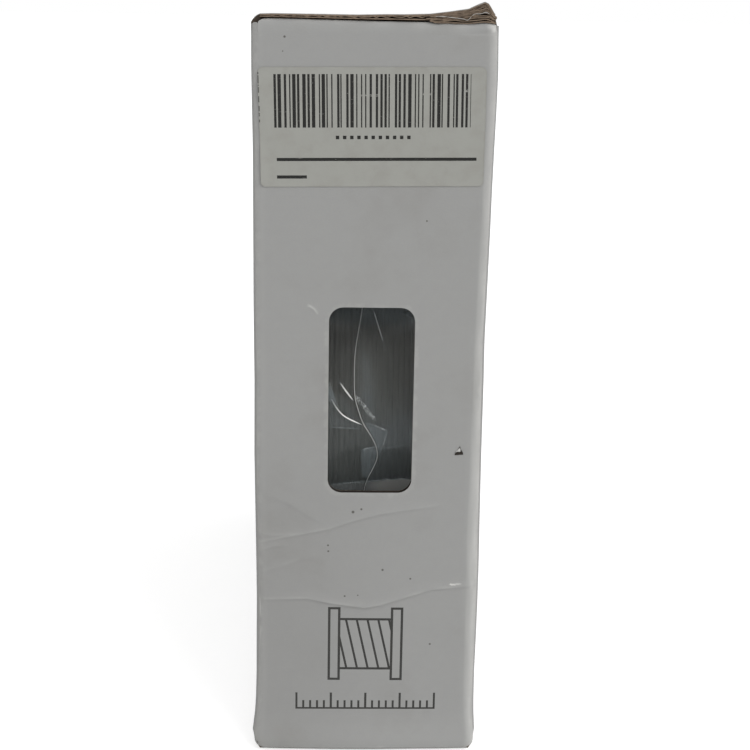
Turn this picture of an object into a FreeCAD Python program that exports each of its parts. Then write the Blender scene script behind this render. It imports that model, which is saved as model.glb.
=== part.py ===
"""A windowed retail carton that holds one bagged spool of filament, as a parametric document.

Millimetres, +Z up. The origin is under the middle of the carton and the window faces -Y.
The carton stands on end: front and back are its narrow faces, left and right its wide ones.
Front, right, back and left walls are one board wrapped round, glued at the back left corner.
The lid is hinged on the left wall, tucks in along the right wall and lies on two dust flaps.
The bottom is glued: the front and back flaps lie outside, the left and right ones inside.
"""
import FreeCAD, Part
import math
import os
import Sketcher
from FreeCAD import Vector

# Room for the spool in the carton, in cells of the sheet.
ROOM_ALONG = "carton_depth - 2 * rim_room"
ROOM_UP = "carton_height - head_room"

# Name, number or formula, meaning.
SIZES = (
    ("carton_width", 68.0, "outside, across the narrow front face"),
    ("carton_depth", 215.0, "outside, from the front face to the back face"),
    ("carton_height", 223.0, "outside, as it stands"),
    ("board", 2.0, "thickness of the corrugated board"),
    ("fold_radius", 2.6, "outer radius of a folded edge"),
    ("clearance", 0.3, "between pieces that move past each other or lie loose"),
    ("cut_inset", 0.5, "a cut edge stands this far in from the face beside it"),
    ("window_width", 25.0, "cut-out in the front wall"),
    ("window_height", 56.5, "cut-out in the front wall"),
    ("window_corner", 4.2, "corner radius of the cut-out"),
    ("window_offset", 0.5, "middle of the cut-out, right of the middle of the wall"),
    ("window_rise", 1.5, "middle of the cut-out, above the middle of the wall"),
    ("window_middle", "=carton_height / 2 + window_rise", "height of the middle of the cut-out"),
    ("tuck_length", 14.0, "from the crease at the lid to the tip of the tuck flap"),
    ("tuck_lean", 11.0, "degrees that the tuck flap leans in from upright"),
    ("tuck_inset", 7.0, "each end of the tuck flap, in from the front or back face"),
    ("tuck_corner", 8.0, "corner radius at the tip of the tuck flap"),
    ("dust_length", 42.0, "of the flaps under the lid, from the crease to the tip"),
    ("dust_root", 4.0, "gap between a dust flap and the left face at the crease"),
    ("dust_slant", 31.0, "degrees, side of a dust flap next to the lid's crease"),
    ("dust_taper", 6.0, "degrees, side of a dust flap next to the tuck flap"),
    ("dust_corner", 5.0, "corner radius at the tip of a dust flap"),
    ("glue_width", 28.0, "of the glue flap, in from the left face"),
    ("glue_inset", 6.0, "each end of the glue flap, in from the folded flaps"),
    ("glue_slope", 12.0, "sloped corners at the free edge of the glue flap"),
    ("flute_pitch", 3.2, "from one flute of the board to the next"),
    ("flute_foot", 2.0, "width of a flute's tunnel at its liner"),
    ("flute_crown", 0.8, "width of a flute's tunnel at its crown"),
    ("flute_paper", 0.2, "thickness of the fluted paper"),
    ("liner", 0.35, "paper on each side of the flutes"),
    ("label_margin", 2.7, "each end of the label, in from the edge of the wall"),
    ("label_width", "=carton_width - 2 * label_margin", "paper label on the front wall"),
    ("label_height", 33.1, "paper label on the front wall"),
    ("label_corner", 2.0, "corner radius of the label"),
    ("label_paper", 0.15, "thickness of the label"),
    ("label_offset", -0.55, "middle of the label, right of the middle of the wall"),
    ("label_drop", 30.3, "middle of the label, below the top of the carton"),
    ("label_middle", "=carton_height - label_drop", "height of the middle of the label"),
    ("label_tilt", 0.9, "degrees, right end up"),
    ("rim_room", 7.5, "from the rim of the spool to the front or back face of the carton"),
    ("head_room", 23.0, "height of the carton over the spool's diameter"),
    ("side_room", 5.0, "from a flange of the spool to the left or right face of the carton"),
    ("flange_diameter", f"=min({ROOM_ALONG}; {ROOM_UP})", "of the spool"),
    ("spool_width", "=carton_width - 2 * side_room", "over both flanges"),
    ("flange_wall", 3.0, "thickness of a flange"),
    ("barrel_diameter", 90.0, "of the barrel that the filament is wound on"),
    ("barrel_wall", 3.0, "thickness of the barrel"),
    ("bore_diameter", 53.0, "of the hole through the spool"),
    ("parking_diameter", 4.0, "holes in a flange that hold the filament's end"),
    ("parking_inset", 6.0, "middle of those holes, in from the rim"),
    ("winding_inset", 13.0, "outermost turns, in from the rim"),
    ("winding_diameter", "=flange_diameter - 2 * winding_inset", "over the outermost turns"),
    ("filament", 1.75, "diameter of the filament"),
    ("turn_pitch", 3.8, "from one turn of the outermost layer to the next"),
    ("turn_count", 5.5, "turns in the outermost layer, in quarters"),
    ("turn_bend", 8.0, "radius where the filament turns off to a flange"),
    ("film", 0.25, "thickness of the bag, with its small wrinkles"),
    ("seam_width", 24.0, "sealed edge of the bag, folded flat on the rim"),
    ("seam_angle", 200.0, "degrees of the rim that the sealed edge goes round"),
    ("mouth_width", 44.0, "sealed mouth of the bag, folded flat on top"),
    ("mouth_angle", 44.0, "degrees of the rim that the mouth goes round"),
    ("sachet_length", 36.0, "drying sachet in the barrel, along the barrel"),
    ("sachet_width", 40.0, "drying sachet, across the barrel"),
    ("sachet_height", 7.0, "thickness of the sachet"),
    ("sachet_round", 3.0, "radius of the sachet's edges"),
)

# Counts: holes in each flange, flat sides of the filament, points measured on each arc of its path.
PARKING_HOLES = 2
FILAMENT_SIDES = 6
POINTS_PER_ARC = 6

doc = FreeCAD.newDocument("FilamentCarton")
sheet = doc.addObject("Spreadsheet::Sheet", "Sizes")
for row, (alias, size, meaning) in enumerate(SIZES, start=1):
    sheet.set(f"A{row}", alias)
    sheet.set(f"B{row}", str(size))
    sheet.setAlias(f"B{row}", alias)
    sheet.set(f"C{row}", meaning)
doc.recompute()

# Places that several pieces share, as expressions of the sheet's cells.
HALF_WIDTH = "(Sizes.carton_width / 2)"
HALF_DEPTH = "(Sizes.carton_depth / 2)"
TOP = "Sizes.carton_height"
BOARD = "Sizes.board"
FOLD = "Sizes.fold_radius"
GAP = "Sizes.clearance"
DUST_FACE = f"({TOP} - {BOARD} - {GAP})"
TUCK_FACE = f"({HALF_WIDTH} - {BOARD} - {GAP})"
FLANGE_INSIDE = "(Sizes.spool_width / 2 - Sizes.flange_wall)"
BARREL_INSIDE = "(Sizes.barrel_diameter / 2 - Sizes.barrel_wall)"
BAG_INSIDE = f"(Sizes.flange_diameter / 2 + {GAP})"
BAG_OUTSIDE = f"({BAG_INSIDE} + Sizes.film)"
BAG_SIDE = f"(Sizes.spool_width / 2 + {GAP} + Sizes.film)"
SPOOL_HEIGHT = f"(2 * {BOARD} + {GAP} + {BAG_OUTSIDE})"


def value(expression):
    """The number that an expression of the sheet's cells comes to."""
    return float(sheet.evalExpression(expression.replace("Sizes.", "")))


def draw(sketch, corners):
    """Draws a closed outline and binds it to the sheet.

    A corner is (x, y), or (x, y, radius, centre x, centre y) where an arc leads on to the next corner.
    """
    spots = [Vector(value(corner[0]), value(corner[1]), 0) for corner in corners]
    ends = []
    for index, corner in enumerate(corners):
        here = spots[index]
        there = spots[(index + 1) % len(corners)]
        if len(corner) == 2:
            sketch.addGeometry(Part.LineSegment(here, there))
            ends.append((1, 2))
            continue
        centre = Vector(value(corner[3]), value(corner[4]), 0)
        turns_left = (here - centre).cross(there - centre).z > 0
        first, last = (here, there) if turns_left else (there, here)
        start = math.atan2(first.y - centre.y, first.x - centre.x)
        stop = math.atan2(last.y - centre.y, last.x - centre.x)
        circle = Part.Circle(centre, Vector(0, 0, 1), value(corner[2]))
        sketch.addGeometry(Part.ArcOfCircle(circle, start, stop if stop > start else stop + 2 * math.pi))
        ends.append((1, 2) if turns_left else (2, 1))
    for index, corner in enumerate(corners):
        after = (index + 1) % len(corners)
        first_end, last_end = ends[index]
        sketch.addConstraint(Sketcher.Constraint("Coincident", index, last_end, after, ends[after][0]))
        spot = spots[index]
        for kind, place, number in (("DistanceX", corner[0], spot.x), ("DistanceY", corner[1], spot.y)):
            pin = sketch.addConstraint(Sketcher.Constraint(kind, -1, 1, index, first_end, number))
            sketch.setExpression(f"Constraints[{pin}]", place)
        if len(corner) > 2:
            pin = sketch.addConstraint(Sketcher.Constraint("Radius", index, value(corner[2])))
            sketch.setExpression(f"Constraints[{pin}]", corner[2])


def new_body(name):
    body = doc.addObject("PartDesign::Body", name)
    body.Label = name
    return body


def origin_feature(body, role):
    return next(feature for feature in body.Origin.OriginFeatures if feature.Role == role)


def new_sketch(body, plane, corners, height="0"):
    """A sketch on one of the body's own planes, moved along the plane's normal."""
    sketch = body.newObject("Sketcher::SketchObject", f"{body.Name}_sketch")
    sketch.AttachmentSupport = [(origin_feature(body, plane), "")]
    sketch.MapMode = "FlatFace"
    sketch.setExpression("AttachmentOffset.Base.z", height)
    draw(sketch, corners)
    return sketch


def pad(body, sketch, length, symmetric=False):
    feature = body.newObject("PartDesign::Pad", f"{body.Name}_pad")
    feature.Profile = sketch
    feature.setExpression("Length", length)
    if symmetric:
        feature.SideType = "Symmetric"
    doc.recompute()
    return feature


def cut_through(body, sketch):
    """Cuts the outline right through the body, both ways from the sketch."""
    before = body.Shape.Volume
    feature = body.newObject("PartDesign::Pocket", f"{body.Name}_cut")
    feature.Profile = sketch
    feature.Type = "ThroughAll"
    feature.SideType = "Symmetric"
    doc.recompute()
    if body.Shape.Volume >= before:
        raise RuntimeError(f"{feature.Name} cuts nothing")
    return feature


def revolve(body, sketch, angle="360", symmetric=False):
    """Turns the outline round the sketch's own horizontal axis."""
    feature = body.newObject("PartDesign::Revolution", f"{body.Name}_revolution")
    feature.Profile = sketch
    feature.ReferenceAxis = (sketch, ["H_Axis"])
    feature.setExpression("Angle", angle)
    feature.Midplane = symmetric
    doc.recompute()
    return feature


def round_edges(body, radius, chosen):
    """Fillets the edges that chosen(edge) picks."""
    base = body.Tip
    names = [f"Edge{number}" for number, edge in enumerate(base.Shape.Edges, start=1) if chosen(edge)]
    feature = body.newObject("PartDesign::Fillet", f"{body.Name}_round")
    feature.Base = (base, names)
    feature.setExpression("Radius", radius)
    doc.recompute()
    return feature


def runs_along(edge, direction):
    """True for a straight edge along the direction."""
    if len(edge.Vertexes) != 2 or edge.Curve.TypeId != "Part::GeomLine":
        return False
    return abs(abs(edge.Curve.Direction.dot(direction)) - 1) < 1e-6


def at(edge, axis, place):
    """True if the middle of the edge has this coordinate."""
    return abs(getattr(edge.CenterOfMass, axis) - place) < 1e-4


def order(across, along, swap):
    return (along, across) if swap else (across, along)


def folded_end(face, edge, inward, back, swap=False, turn="45"):
    """The folded end of a board, drawn from its outer face to its inner face.

    face is where the outer face lies, edge is where it would meet the next board's outer face.
    inward and back are 1 or -1: the way through the board, and the way from the edge into the board.
    The board ends at the middle of the fold, after the given turn.
    """
    centre = order(f"{face} + ({inward}) * {FOLD}", f"{edge} + ({back}) * {FOLD}", swap)
    inner = f"({FOLD} - {BOARD})"

    def on_arc(radius):
        across = f"{face} + ({inward}) * ({FOLD} - {radius} * cos({turn}))"
        along = f"{edge} + ({back}) * ({FOLD} - {radius} * sin({turn}))"
        return order(across, along, swap)

    outside = order(face, f"{edge} + ({back}) * {FOLD}", swap)
    inside = order(f"{face} + ({inward}) * {BOARD}", f"{edge} + ({back}) * {FOLD}", swap)
    return [outside + (FOLD,) + centre, on_arc(FOLD), on_arc(inner) + (inner,) + centre, inside]


def cut_end(face, edge, inward, swap=False):
    """The square cut end of a board, drawn from its outer face to its inner face."""
    return [order(face, edge, swap), order(f"{face} + ({inward}) * {BOARD}", edge, swap)]


def backwards(end):
    """The same end, drawn from the inner face to the outer face."""
    turned = []
    for index in range(len(end) - 1, -1, -1):
        arc = end[index - 1][2:] if index > 0 else ()
        turned.append(end[index][:2] + arc)
    return turned


def fold_waste(face, edge, inward, back, swap=False):
    """What is cut off a square board to leave its folded end."""
    outside = f"{face} - ({inward}) * {FOLD}"
    inside = f"{face} + ({inward}) * ({BOARD} + {FOLD})"
    start = f"{edge} + ({back}) * {FOLD}"
    beyond = f"{edge} - ({back}) * {FOLD}"
    box = [(inside, start), (inside, beyond), (outside, beyond), (outside, start)]
    return folded_end(face, edge, inward, back, swap) + [order(*corner, swap) for corner in box]


def rounded_rectangle(width, height, radius, middle_x="0", middle_y="0"):
    corners = []
    for side, up, first_across in ((1, -1, True), (1, 1, False), (-1, 1, True), (-1, -1, False)):
        x = f"{middle_x} + ({side}) * {width} / 2"
        y = f"{middle_y} + ({up}) * {height} / 2"
        inner_x = f"{x} - ({side}) * {radius}"
        inner_y = f"{y} - ({up}) * {radius}"
        arc = (radius, inner_x, inner_y)
        if first_across:
            corners += [(inner_x, y) + arc, (x, inner_y)]
        else:
            corners += [(x, inner_y) + arc, (inner_x, y)]
    return corners


def make_wall(name, first_end, second_end, bottom, top):
    """A wall of the carton, from its outline seen from above."""
    body = new_body(name)
    outline = first_end + backwards(second_end)
    pad(body, new_sketch(body, "XY_Plane", outline, bottom), f"{top} - {bottom}")
    return body


def make_front_panel():
    face = f"-{HALF_DEPTH}"
    left = folded_end(face, f"-{HALF_WIDTH}", 1, 1, swap=True)
    right = folded_end(face, HALF_WIDTH, 1, -1, swap=True)
    body = make_wall("front_panel", left, right, "0", DUST_FACE)
    cut_through(body, new_sketch(body, "YZ_Plane", fold_waste(face, DUST_FACE, 1, -1)))
    cut_through(body, new_sketch(body, "YZ_Plane", fold_waste(face, "0", 1, 1)))
    window = rounded_rectangle(
        "Sizes.window_width", "Sizes.window_height", "Sizes.window_corner",
        "Sizes.window_offset", "Sizes.window_middle",
    )
    cut_through(body, new_sketch(body, "XZ_Plane", window))


def make_back_panel():
    left = cut_end(HALF_DEPTH, f"-{HALF_WIDTH}", -1, swap=True)
    right = folded_end(HALF_DEPTH, HALF_WIDTH, -1, -1, swap=True)
    body = make_wall("back_panel", left, right, "0", DUST_FACE)
    cut_through(body, new_sketch(body, "YZ_Plane", fold_waste(HALF_DEPTH, DUST_FACE, -1, -1)))
    cut_through(body, new_sketch(body, "YZ_Plane", fold_waste(HALF_DEPTH, "0", -1, 1)))


def make_left_panel():
    face = f"-{HALF_WIDTH}"
    front = folded_end(face, f"-{HALF_DEPTH}", 1, 1)
    back = folded_end(face, f"({HALF_DEPTH} - {BOARD})", 1, -1)
    body = make_wall("left_panel", front, back, BOARD, TOP)
    cut_through(body, new_sketch(body, "XZ_Plane", fold_waste(face, TOP, 1, -1)))
    cut_through(body, new_sketch(body, "XZ_Plane", fold_waste(face, BOARD, 1, 1)))


def make_right_panel():
    front = folded_end(HALF_WIDTH, f"-{HALF_DEPTH}", -1, 1)
    back = folded_end(HALF_WIDTH, HALF_DEPTH, -1, -1)
    body = make_wall("right_panel", front, back, BOARD, TOP)
    cut_through(body, new_sketch(body, "XZ_Plane", fold_waste(HALF_WIDTH, BOARD, -1, 1)))


def make_glue_flap():
    """Folded from the left wall and glued to the inside of the back wall."""
    face = f"({HALF_DEPTH} - {BOARD})"
    free_edge = f"(Sizes.glue_width - {HALF_WIDTH})"
    fold = folded_end(face, f"-{HALF_WIDTH}", -1, 1, swap=True)
    free = cut_end(face, free_edge, -1, swap=True)
    bottom = f"(2 * {BOARD} + Sizes.glue_inset)"
    top = f"({DUST_FACE} - {BOARD} - Sizes.glue_inset)"
    body = make_wall("glue_flap", fold, free, bottom, top)
    for end, up in ((bottom, 1), (top, -1)):
        slope = [
            (f"{free_edge} - Sizes.glue_slope / 2", end),
            (f"{free_edge} + {BOARD}", end),
            (f"{free_edge} + {BOARD}", f"{end} + ({up}) * Sizes.glue_slope"),
            (free_edge, f"{end} + ({up}) * Sizes.glue_slope"),
        ]
        cut_through(body, new_sketch(body, "XZ_Plane", slope))


def cut_flutes(body, start, count, upper, lower):
    """Cuts the tunnels between the liners, along Y, in upright and inverted pairs that repeat along X."""
    height = f"({BOARD} - 2 * Sizes.liner - Sizes.flute_paper)"
    cuts = []
    for shift, liner, up in (("0", lower, 1), ("Sizes.flute_pitch / 2", upper, -1)):
        middle = f"{start} + {shift}"
        crown = f"{liner} + ({up}) * {height}"
        tunnel = [
            (f"{middle} - Sizes.flute_foot / 2", liner),
            (f"{middle} + Sizes.flute_foot / 2", liner),
            (f"{middle} + Sizes.flute_crown / 2", crown),
            (f"{middle} - Sizes.flute_crown / 2", crown),
        ]
        cuts.append(cut_through(body, new_sketch(body, "XZ_Plane", tunnel)))
    pattern = body.newObject("PartDesign::LinearPattern", f"{body.Name}_flutes")
    pattern.Originals = cuts
    pattern.Direction = (origin_feature(body, "X_Axis"), [""])
    pattern.Mode = "Spacing"
    pattern.setExpression("Offset", "Sizes.flute_pitch")
    pattern.setExpression("Occurrences", count)
    body.Tip = pattern
    doc.recompute()


def make_top_lid():
    """Creased to the left wall on one side and to the tuck flap on the other."""
    body = new_body("top_lid")
    hinge = folded_end(TOP, f"-{HALF_WIDTH}", -1, 1, swap=True)
    tuck = folded_end(TOP, TUCK_FACE, -1, -1, swap=True)
    sketch = new_sketch(body, "XZ_Plane", hinge + backwards(tuck))
    pad(body, sketch, "Sizes.carton_depth - 2 * Sizes.cut_inset", symmetric=True)
    start = f"({FOLD} + Sizes.flute_foot / 2 - {HALF_WIDTH})"
    count = f"floor(({TUCK_FACE} - {FOLD} - Sizes.flute_foot / 2 - {start}) / Sizes.flute_pitch)"
    cut_flutes(body, start, count, f"{TOP} - Sizes.liner", f"{TOP} - {BOARD} + Sizes.liner")


def make_tuck_flap():
    """Modelled hanging straight down from its crease, then leaned in, which the crease leaves room for."""
    body = new_body("top_tuck_flap")
    crease_room = f"(2 * {FOLD} * tan(Sizes.tuck_lean))"
    crease = folded_end("0", f"-{crease_room}", -1, -1, turn="45 - Sizes.tuck_lean")
    tip = cut_end("0", "-Sizes.tuck_length", -1)
    sketch = new_sketch(body, "XZ_Plane", crease + backwards(tip))
    pad(body, sketch, "Sizes.carton_depth - 2 * Sizes.tuck_inset", symmetric=True)
    low = -value("Sizes.tuck_length")
    round_edges(
        body, "Sizes.tuck_corner",
        lambda edge: runs_along(edge, Vector(1, 0, 0)) and at(edge, "z", low),
    )
    body.Placement.Rotation = FreeCAD.Rotation(Vector(0, 1, 0), value("Sizes.tuck_lean"))
    body.setExpression("Placement.Base.x", TUCK_FACE)
    body.setExpression("Placement.Base.z", TOP)
    body.setExpression("Placement.Rotation.Angle", "Sizes.tuck_lean")


def make_dust_flap(name, side):
    """side is -1 for the front flap and 1 for the back one."""
    body = new_body(name)
    crease = f"({side}) * {HALF_DEPTH}"
    tip = f"({side}) * ({HALF_DEPTH} - Sizes.dust_length)"
    left = f"Sizes.dust_root - {HALF_WIDTH}"
    tuck_room = f"({BOARD} / cos(Sizes.tuck_lean) + 2 * ({BOARD} + {GAP}) * tan(Sizes.tuck_lean))"
    right = f"{TUCK_FACE} - {tuck_room} - {GAP}"
    outline = [
        (left, crease),
        (right, crease),
        (f"{right} - Sizes.dust_length * tan(Sizes.dust_taper)", tip),
        (f"{left} + Sizes.dust_length * tan(Sizes.dust_slant)", tip),
    ]
    pad(body, new_sketch(body, "XY_Plane", outline, f"{DUST_FACE} - {BOARD}"), BOARD)
    cut_through(body, new_sketch(body, "YZ_Plane", fold_waste(DUST_FACE, crease, -1, -side, swap=True)))
    tip_place = value(tip)
    round_edges(
        body, "Sizes.dust_corner",
        lambda edge: runs_along(edge, Vector(0, 0, 1)) and at(edge, "y", tip_place),
    )


def make_outer_bottom_flap(name, side):
    """side is -1 for the front flap and 1 for the back one. They meet under the middle."""
    body = new_body(name)
    fold = folded_end("0", f"({side}) * {HALF_DEPTH}", 1, -side, swap=True)
    seam = cut_end("0", f"({side}) * Sizes.cut_inset / 2", 1, swap=True)
    sketch = new_sketch(body, "YZ_Plane", fold + backwards(seam))
    pad(body, sketch, "Sizes.carton_width - 2 * Sizes.cut_inset", symmetric=True)


def make_inner_bottom_flap(name, side):
    """side is -1 for the left flap and 1 for the right one. They meet under the middle."""
    body = new_body(name)
    fold = folded_end(BOARD, f"({side}) * {HALF_WIDTH}", 1, -side, swap=True)
    seam = cut_end(BOARD, f"({side}) * Sizes.cut_inset / 2", 1, swap=True)
    sketch = new_sketch(body, "XZ_Plane", fold + backwards(seam))
    pad(body, sketch, f"Sizes.carton_depth - 2 * ({FOLD} + Sizes.cut_inset)", symmetric=True)


def make_label():
    """Modelled about its own middle, then stuck on the front wall a little askew."""
    body = new_body("front_label")
    outline = rounded_rectangle("Sizes.label_width", "Sizes.label_height", "Sizes.label_corner")
    pad(body, new_sketch(body, "XZ_Plane", outline), "Sizes.label_paper")
    body.Placement.Rotation = FreeCAD.Rotation(Vector(0, -1, 0), value("Sizes.label_tilt"))
    body.setExpression("Placement.Base.x", "Sizes.label_offset")
    body.setExpression("Placement.Base.y", f"-{HALF_DEPTH}")
    body.setExpression("Placement.Base.z", "Sizes.label_middle")
    body.setExpression("Placement.Rotation.Angle", "Sizes.label_tilt")


def seat_spool_piece(body):
    """Pieces of the spool and its bag are modelled about the spool's axis, then set on the bottom flaps."""
    body.setExpression("Placement.Base.z", SPOOL_HEIGHT)


def make_spool_half(name, side):
    """A flange and half of the barrel, moulded in one. The halves meet in the middle of the barrel."""
    body = new_body(name)
    outer = f"({side}) * Sizes.spool_width / 2"
    inner = f"({side}) * {FLANGE_INSIDE}"
    rim = "Sizes.flange_diameter / 2"
    bore = "Sizes.bore_diameter / 2"
    outline = [
        (outer, bore),
        (outer, rim),
        (inner, rim),
        (inner, "Sizes.barrel_diameter / 2"),
        ("0", "Sizes.barrel_diameter / 2"),
        ("0", BARREL_INSIDE),
        (inner, BARREL_INSIDE),
        (inner, bore),
    ]
    revolve(body, new_sketch(body, "XZ_Plane", outline))
    hole_middle = f"{rim} - Sizes.parking_inset"
    hole_radius = "Sizes.parking_diameter / 2"
    arc = (hole_radius, "0", hole_middle)
    hole = [
        (f"-{hole_radius}", hole_middle) + arc,
        ("0", f"{hole_middle} - {hole_radius}") + arc,
        (hole_radius, hole_middle) + arc,
        ("0", f"{hole_middle} + {hole_radius}") + arc,
    ]
    cut = cut_through(body, new_sketch(body, "YZ_Plane", hole))
    pattern = body.newObject("PartDesign::PolarPattern", f"{name}_parking")
    pattern.Originals = [cut]
    pattern.Axis = (origin_feature(body, "X_Axis"), [""])
    pattern.Occurrences = PARKING_HOLES
    body.Tip = pattern
    seat_spool_piece(body)


def make_winding_core():
    """All but the outermost layer of the filament, as one solid round the barrel."""
    body = new_body("filament_core")
    inner = f"(Sizes.barrel_diameter / 2 + {GAP})"
    outer = f"(Sizes.winding_diameter / 2 - Sizes.filament - {GAP})"
    half_length = f"({FLANGE_INSIDE} - {GAP})"
    outline = [
        (f"-{half_length}", inner),
        (half_length, inner),
        (half_length, outer),
        (f"-{half_length}", outer),
    ]
    revolve(body, new_sketch(body, "XZ_Plane", outline))
    seat_spool_piece(body)


def biarc(start, start_way, end, end_way):
    """Two arcs that leave start along start_way and reach end along end_way."""
    chord = end - start
    both = start_way + end_way
    spread = 2 * (1 - start_way.dot(end_way))
    reach = (math.sqrt(chord.dot(both) ** 2 + spread * chord.dot(chord)) - chord.dot(both)) / spread
    near = start + start_way * reach
    far = end - end_way * reach
    joint = (near + far) * 0.5
    return [arc_from_corner(start, near, joint), arc_from_corner(joint, far, end)]


def arc_from_corner(start, corner, end):
    """The arc from start to end that touches the two lines from the corner."""
    middle = (start + end) * 0.5
    half_chord = (end - start).Length / 2
    rise = (corner - middle).Length
    side = (corner - start).Length
    crown = middle + (corner - middle) * (half_chord / (side + half_chord))
    return Part.Arc(start, crown, end).toShape() if rise > 1e-9 else Part.makeLine(start, end)


def make_winding_layer():
    """The outermost layer: one unbroken tube that comes from one flange, on top, and parks at the other."""
    pitch = sheet.get("turn_pitch")
    count = sheet.get("turn_count")
    filament = sheet.get("filament")
    bend = sheet.get("turn_bend")
    radius = sheet.get("winding_diameter") / 2 - filament / 2
    flange = sheet.get("spool_width") / 2 - sheet.get("flange_wall") - sheet.get("clearance")
    quarters = int(round(4 * count))

    def spot(quarter):
        angle = (quarter + 1) * math.pi / 2
        return Vector((quarter / 4 - count / 2) * pitch, radius * math.cos(angle), radius * math.sin(angle))

    def way(quarter):
        angle = (quarter + 1) * math.pi / 2
        rise = pitch / (2 * math.pi)
        return Vector(rise, -radius * math.sin(angle), radius * math.cos(angle)).normalize()

    axis = Vector(1, 0, 0)

    def bend_to_axis(place, heading, sign):
        """The arc between the helix and a run along the spool's axis, and the far end of the arc."""
        inward = (axis - heading * axis.dot(heading)).normalize() * sign
        angle = math.acos(axis.dot(heading))
        centre = place + inward * bend

        def point(turned):
            return centre - inward * (bend * math.cos(turned)) + heading * (sign * bend * math.sin(turned))

        return point(angle / 2), point(angle)

    edges = []
    half, corner = bend_to_axis(spot(0), way(0), -1)
    start = Vector(-flange, corner.y, corner.z)
    edges.append(Part.makeLine(start, corner))
    edges.append(Part.Arc(corner, half, spot(0)).toShape())
    for quarter in range(quarters):
        edges += biarc(spot(quarter), way(quarter), spot(quarter + 1), way(quarter + 1))
    half, corner = bend_to_axis(spot(quarters), way(quarters), 1)
    edges.append(Part.Arc(spot(quarters), half, corner).toShape())
    edges.append(Part.makeLine(corner, Vector(flange, corner.y, corner.z)))
    path = Part.Wire(edges)
    step = 2 * math.pi / FILAMENT_SIDES
    ring = [
        start + Vector(0, math.cos(side * step), math.sin(side * step)) * (filament / 2)
        for side in range(FILAMENT_SIDES)
    ]
    shell = Part.BRepOffsetAPI.MakePipeShell(path)
    shell.add(Part.makePolygon(ring + ring[:1]))
    shell.build()
    shell.makeSolid()
    layer = doc.addObject("Part::Feature", "filament_layer")
    layer.Label = "filament_layer"
    layer.Shape = shell.shape()
    layer.Placement = FreeCAD.Placement(Vector(0, 0, value(SPOOL_HEIGHT)), FreeCAD.Rotation())
    points = [point for edge in edges for point in edge.discretize(Number=POINTS_PER_ARC)]
    half_turn = 4 * POINTS_PER_ARC
    nearest = min(
        (points[first] - points[second]).Length
        for first in range(len(points))
        for second in range(first + half_turn, len(points))
    )
    section = FILAMENT_SIDES / 2 * (filament / 2) ** 2 * math.sin(step)
    print(f"filament_layer: least gap to itself {nearest - filament:.2f} mm")
    share = layer.Shape.Volume / (section * path.Length)
    print(f"filament_layer: volume over section times length {share:.4f}")


def make_bag_half(name, side):
    """Half of the bag: one flat side and half of the rim."""
    body = new_body(name)
    outer = f"({side}) * {BAG_SIDE}"
    inner = f"({side}) * ({BAG_SIDE} - Sizes.film)"
    outline = [
        ("0", BAG_INSIDE),
        ("0", BAG_OUTSIDE),
        (outer, BAG_OUTSIDE),
        (outer, "0"),
        (inner, "0"),
        (inner, BAG_INSIDE),
    ]
    revolve(body, new_sketch(body, "XZ_Plane", outline))
    seat_spool_piece(body)


def make_bag_fold(name, half_width, level, arc):
    """A sealed double edge of the bag that lies folded on the rim, evenly about the top."""
    body = new_body(name)
    top = f"{level} + 2 * Sizes.film"
    outline = [
        (f"-{half_width}", level),
        (half_width, level),
        (half_width, top),
        (f"-{half_width}", top),
    ]
    revolve(body, new_sketch(body, "XZ_Plane", outline), arc, symmetric=True)
    seat_spool_piece(body)


def make_sachet():
    """Lies in the bottom of the barrel, on its two rounded long edges."""
    body = new_body("drying_sachet")
    half_width = "Sizes.sachet_width / 2"
    edge_reach = f"({BARREL_INSIDE} - {GAP} - Sizes.sachet_round)"
    edge_aside = f"({half_width} - Sizes.sachet_round)"
    low = f"(-Sizes.sachet_round - sqrt({edge_reach} ^ 2 - {edge_aside} ^ 2))"
    outline = [
        (f"-{half_width}", low),
        (half_width, low),
        (half_width, f"{low} + Sizes.sachet_height"),
        (f"-{half_width}", f"{low} + Sizes.sachet_height"),
    ]
    pad(body, new_sketch(body, "YZ_Plane", outline), "Sizes.sachet_length", symmetric=True)
    round_edges(body, "Sizes.sachet_round", lambda edge: runs_along(edge, Vector(1, 0, 0)))
    seat_spool_piece(body)


make_front_panel()
make_back_panel()
make_left_panel()
make_right_panel()
make_glue_flap()
make_top_lid()
make_tuck_flap()
for side_name, side_sign in (("front", -1), ("back", 1)):
    make_dust_flap(f"top_{side_name}_dust_flap", side_sign)
    make_outer_bottom_flap(f"bottom_{side_name}_flap", side_sign)
for side_name, side_sign in (("left", -1), ("right", 1)):
    make_inner_bottom_flap(f"bottom_{side_name}_flap", side_sign)
    make_spool_half(f"spool_{side_name}_half", side_sign)
    make_bag_half(f"bag_{side_name}_film", side_sign)
make_label()
make_winding_core()
make_winding_layer()
seam_radius = f"({BAG_OUTSIDE} + {GAP})"
mouth_radius = f"({BAG_OUTSIDE} + 2 * {GAP} + 2 * Sizes.film)"
make_bag_fold("bag_side_seam", "Sizes.seam_width / 2", seam_radius, "Sizes.seam_angle")
make_bag_fold("bag_mouth", "Sizes.mouth_width / 2", mouth_radius, "Sizes.mouth_angle")
make_sachet()

doc.recompute()
for thing in doc.Objects:
    if "Invalid" in thing.State or "Error" in thing.State:
        raise RuntimeError(f"{thing.Name} failed: {thing.State}")
nodes = [thing for thing in doc.Objects if thing.TypeId in ("PartDesign::Body", "Part::Feature")]
for node in nodes:
    if node.Shape.isNull() or not node.Shape.isValid() or len(node.Shape.Solids) != 1:
        raise RuntimeError(f"{node.Label} has no sound shape")
os.makedirs("parts", exist_ok=True)
for node in nodes:
    node.Shape.exportStep(f"parts/{node.Label}.step")
print(f"{len(nodes)} nodes written")
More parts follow.
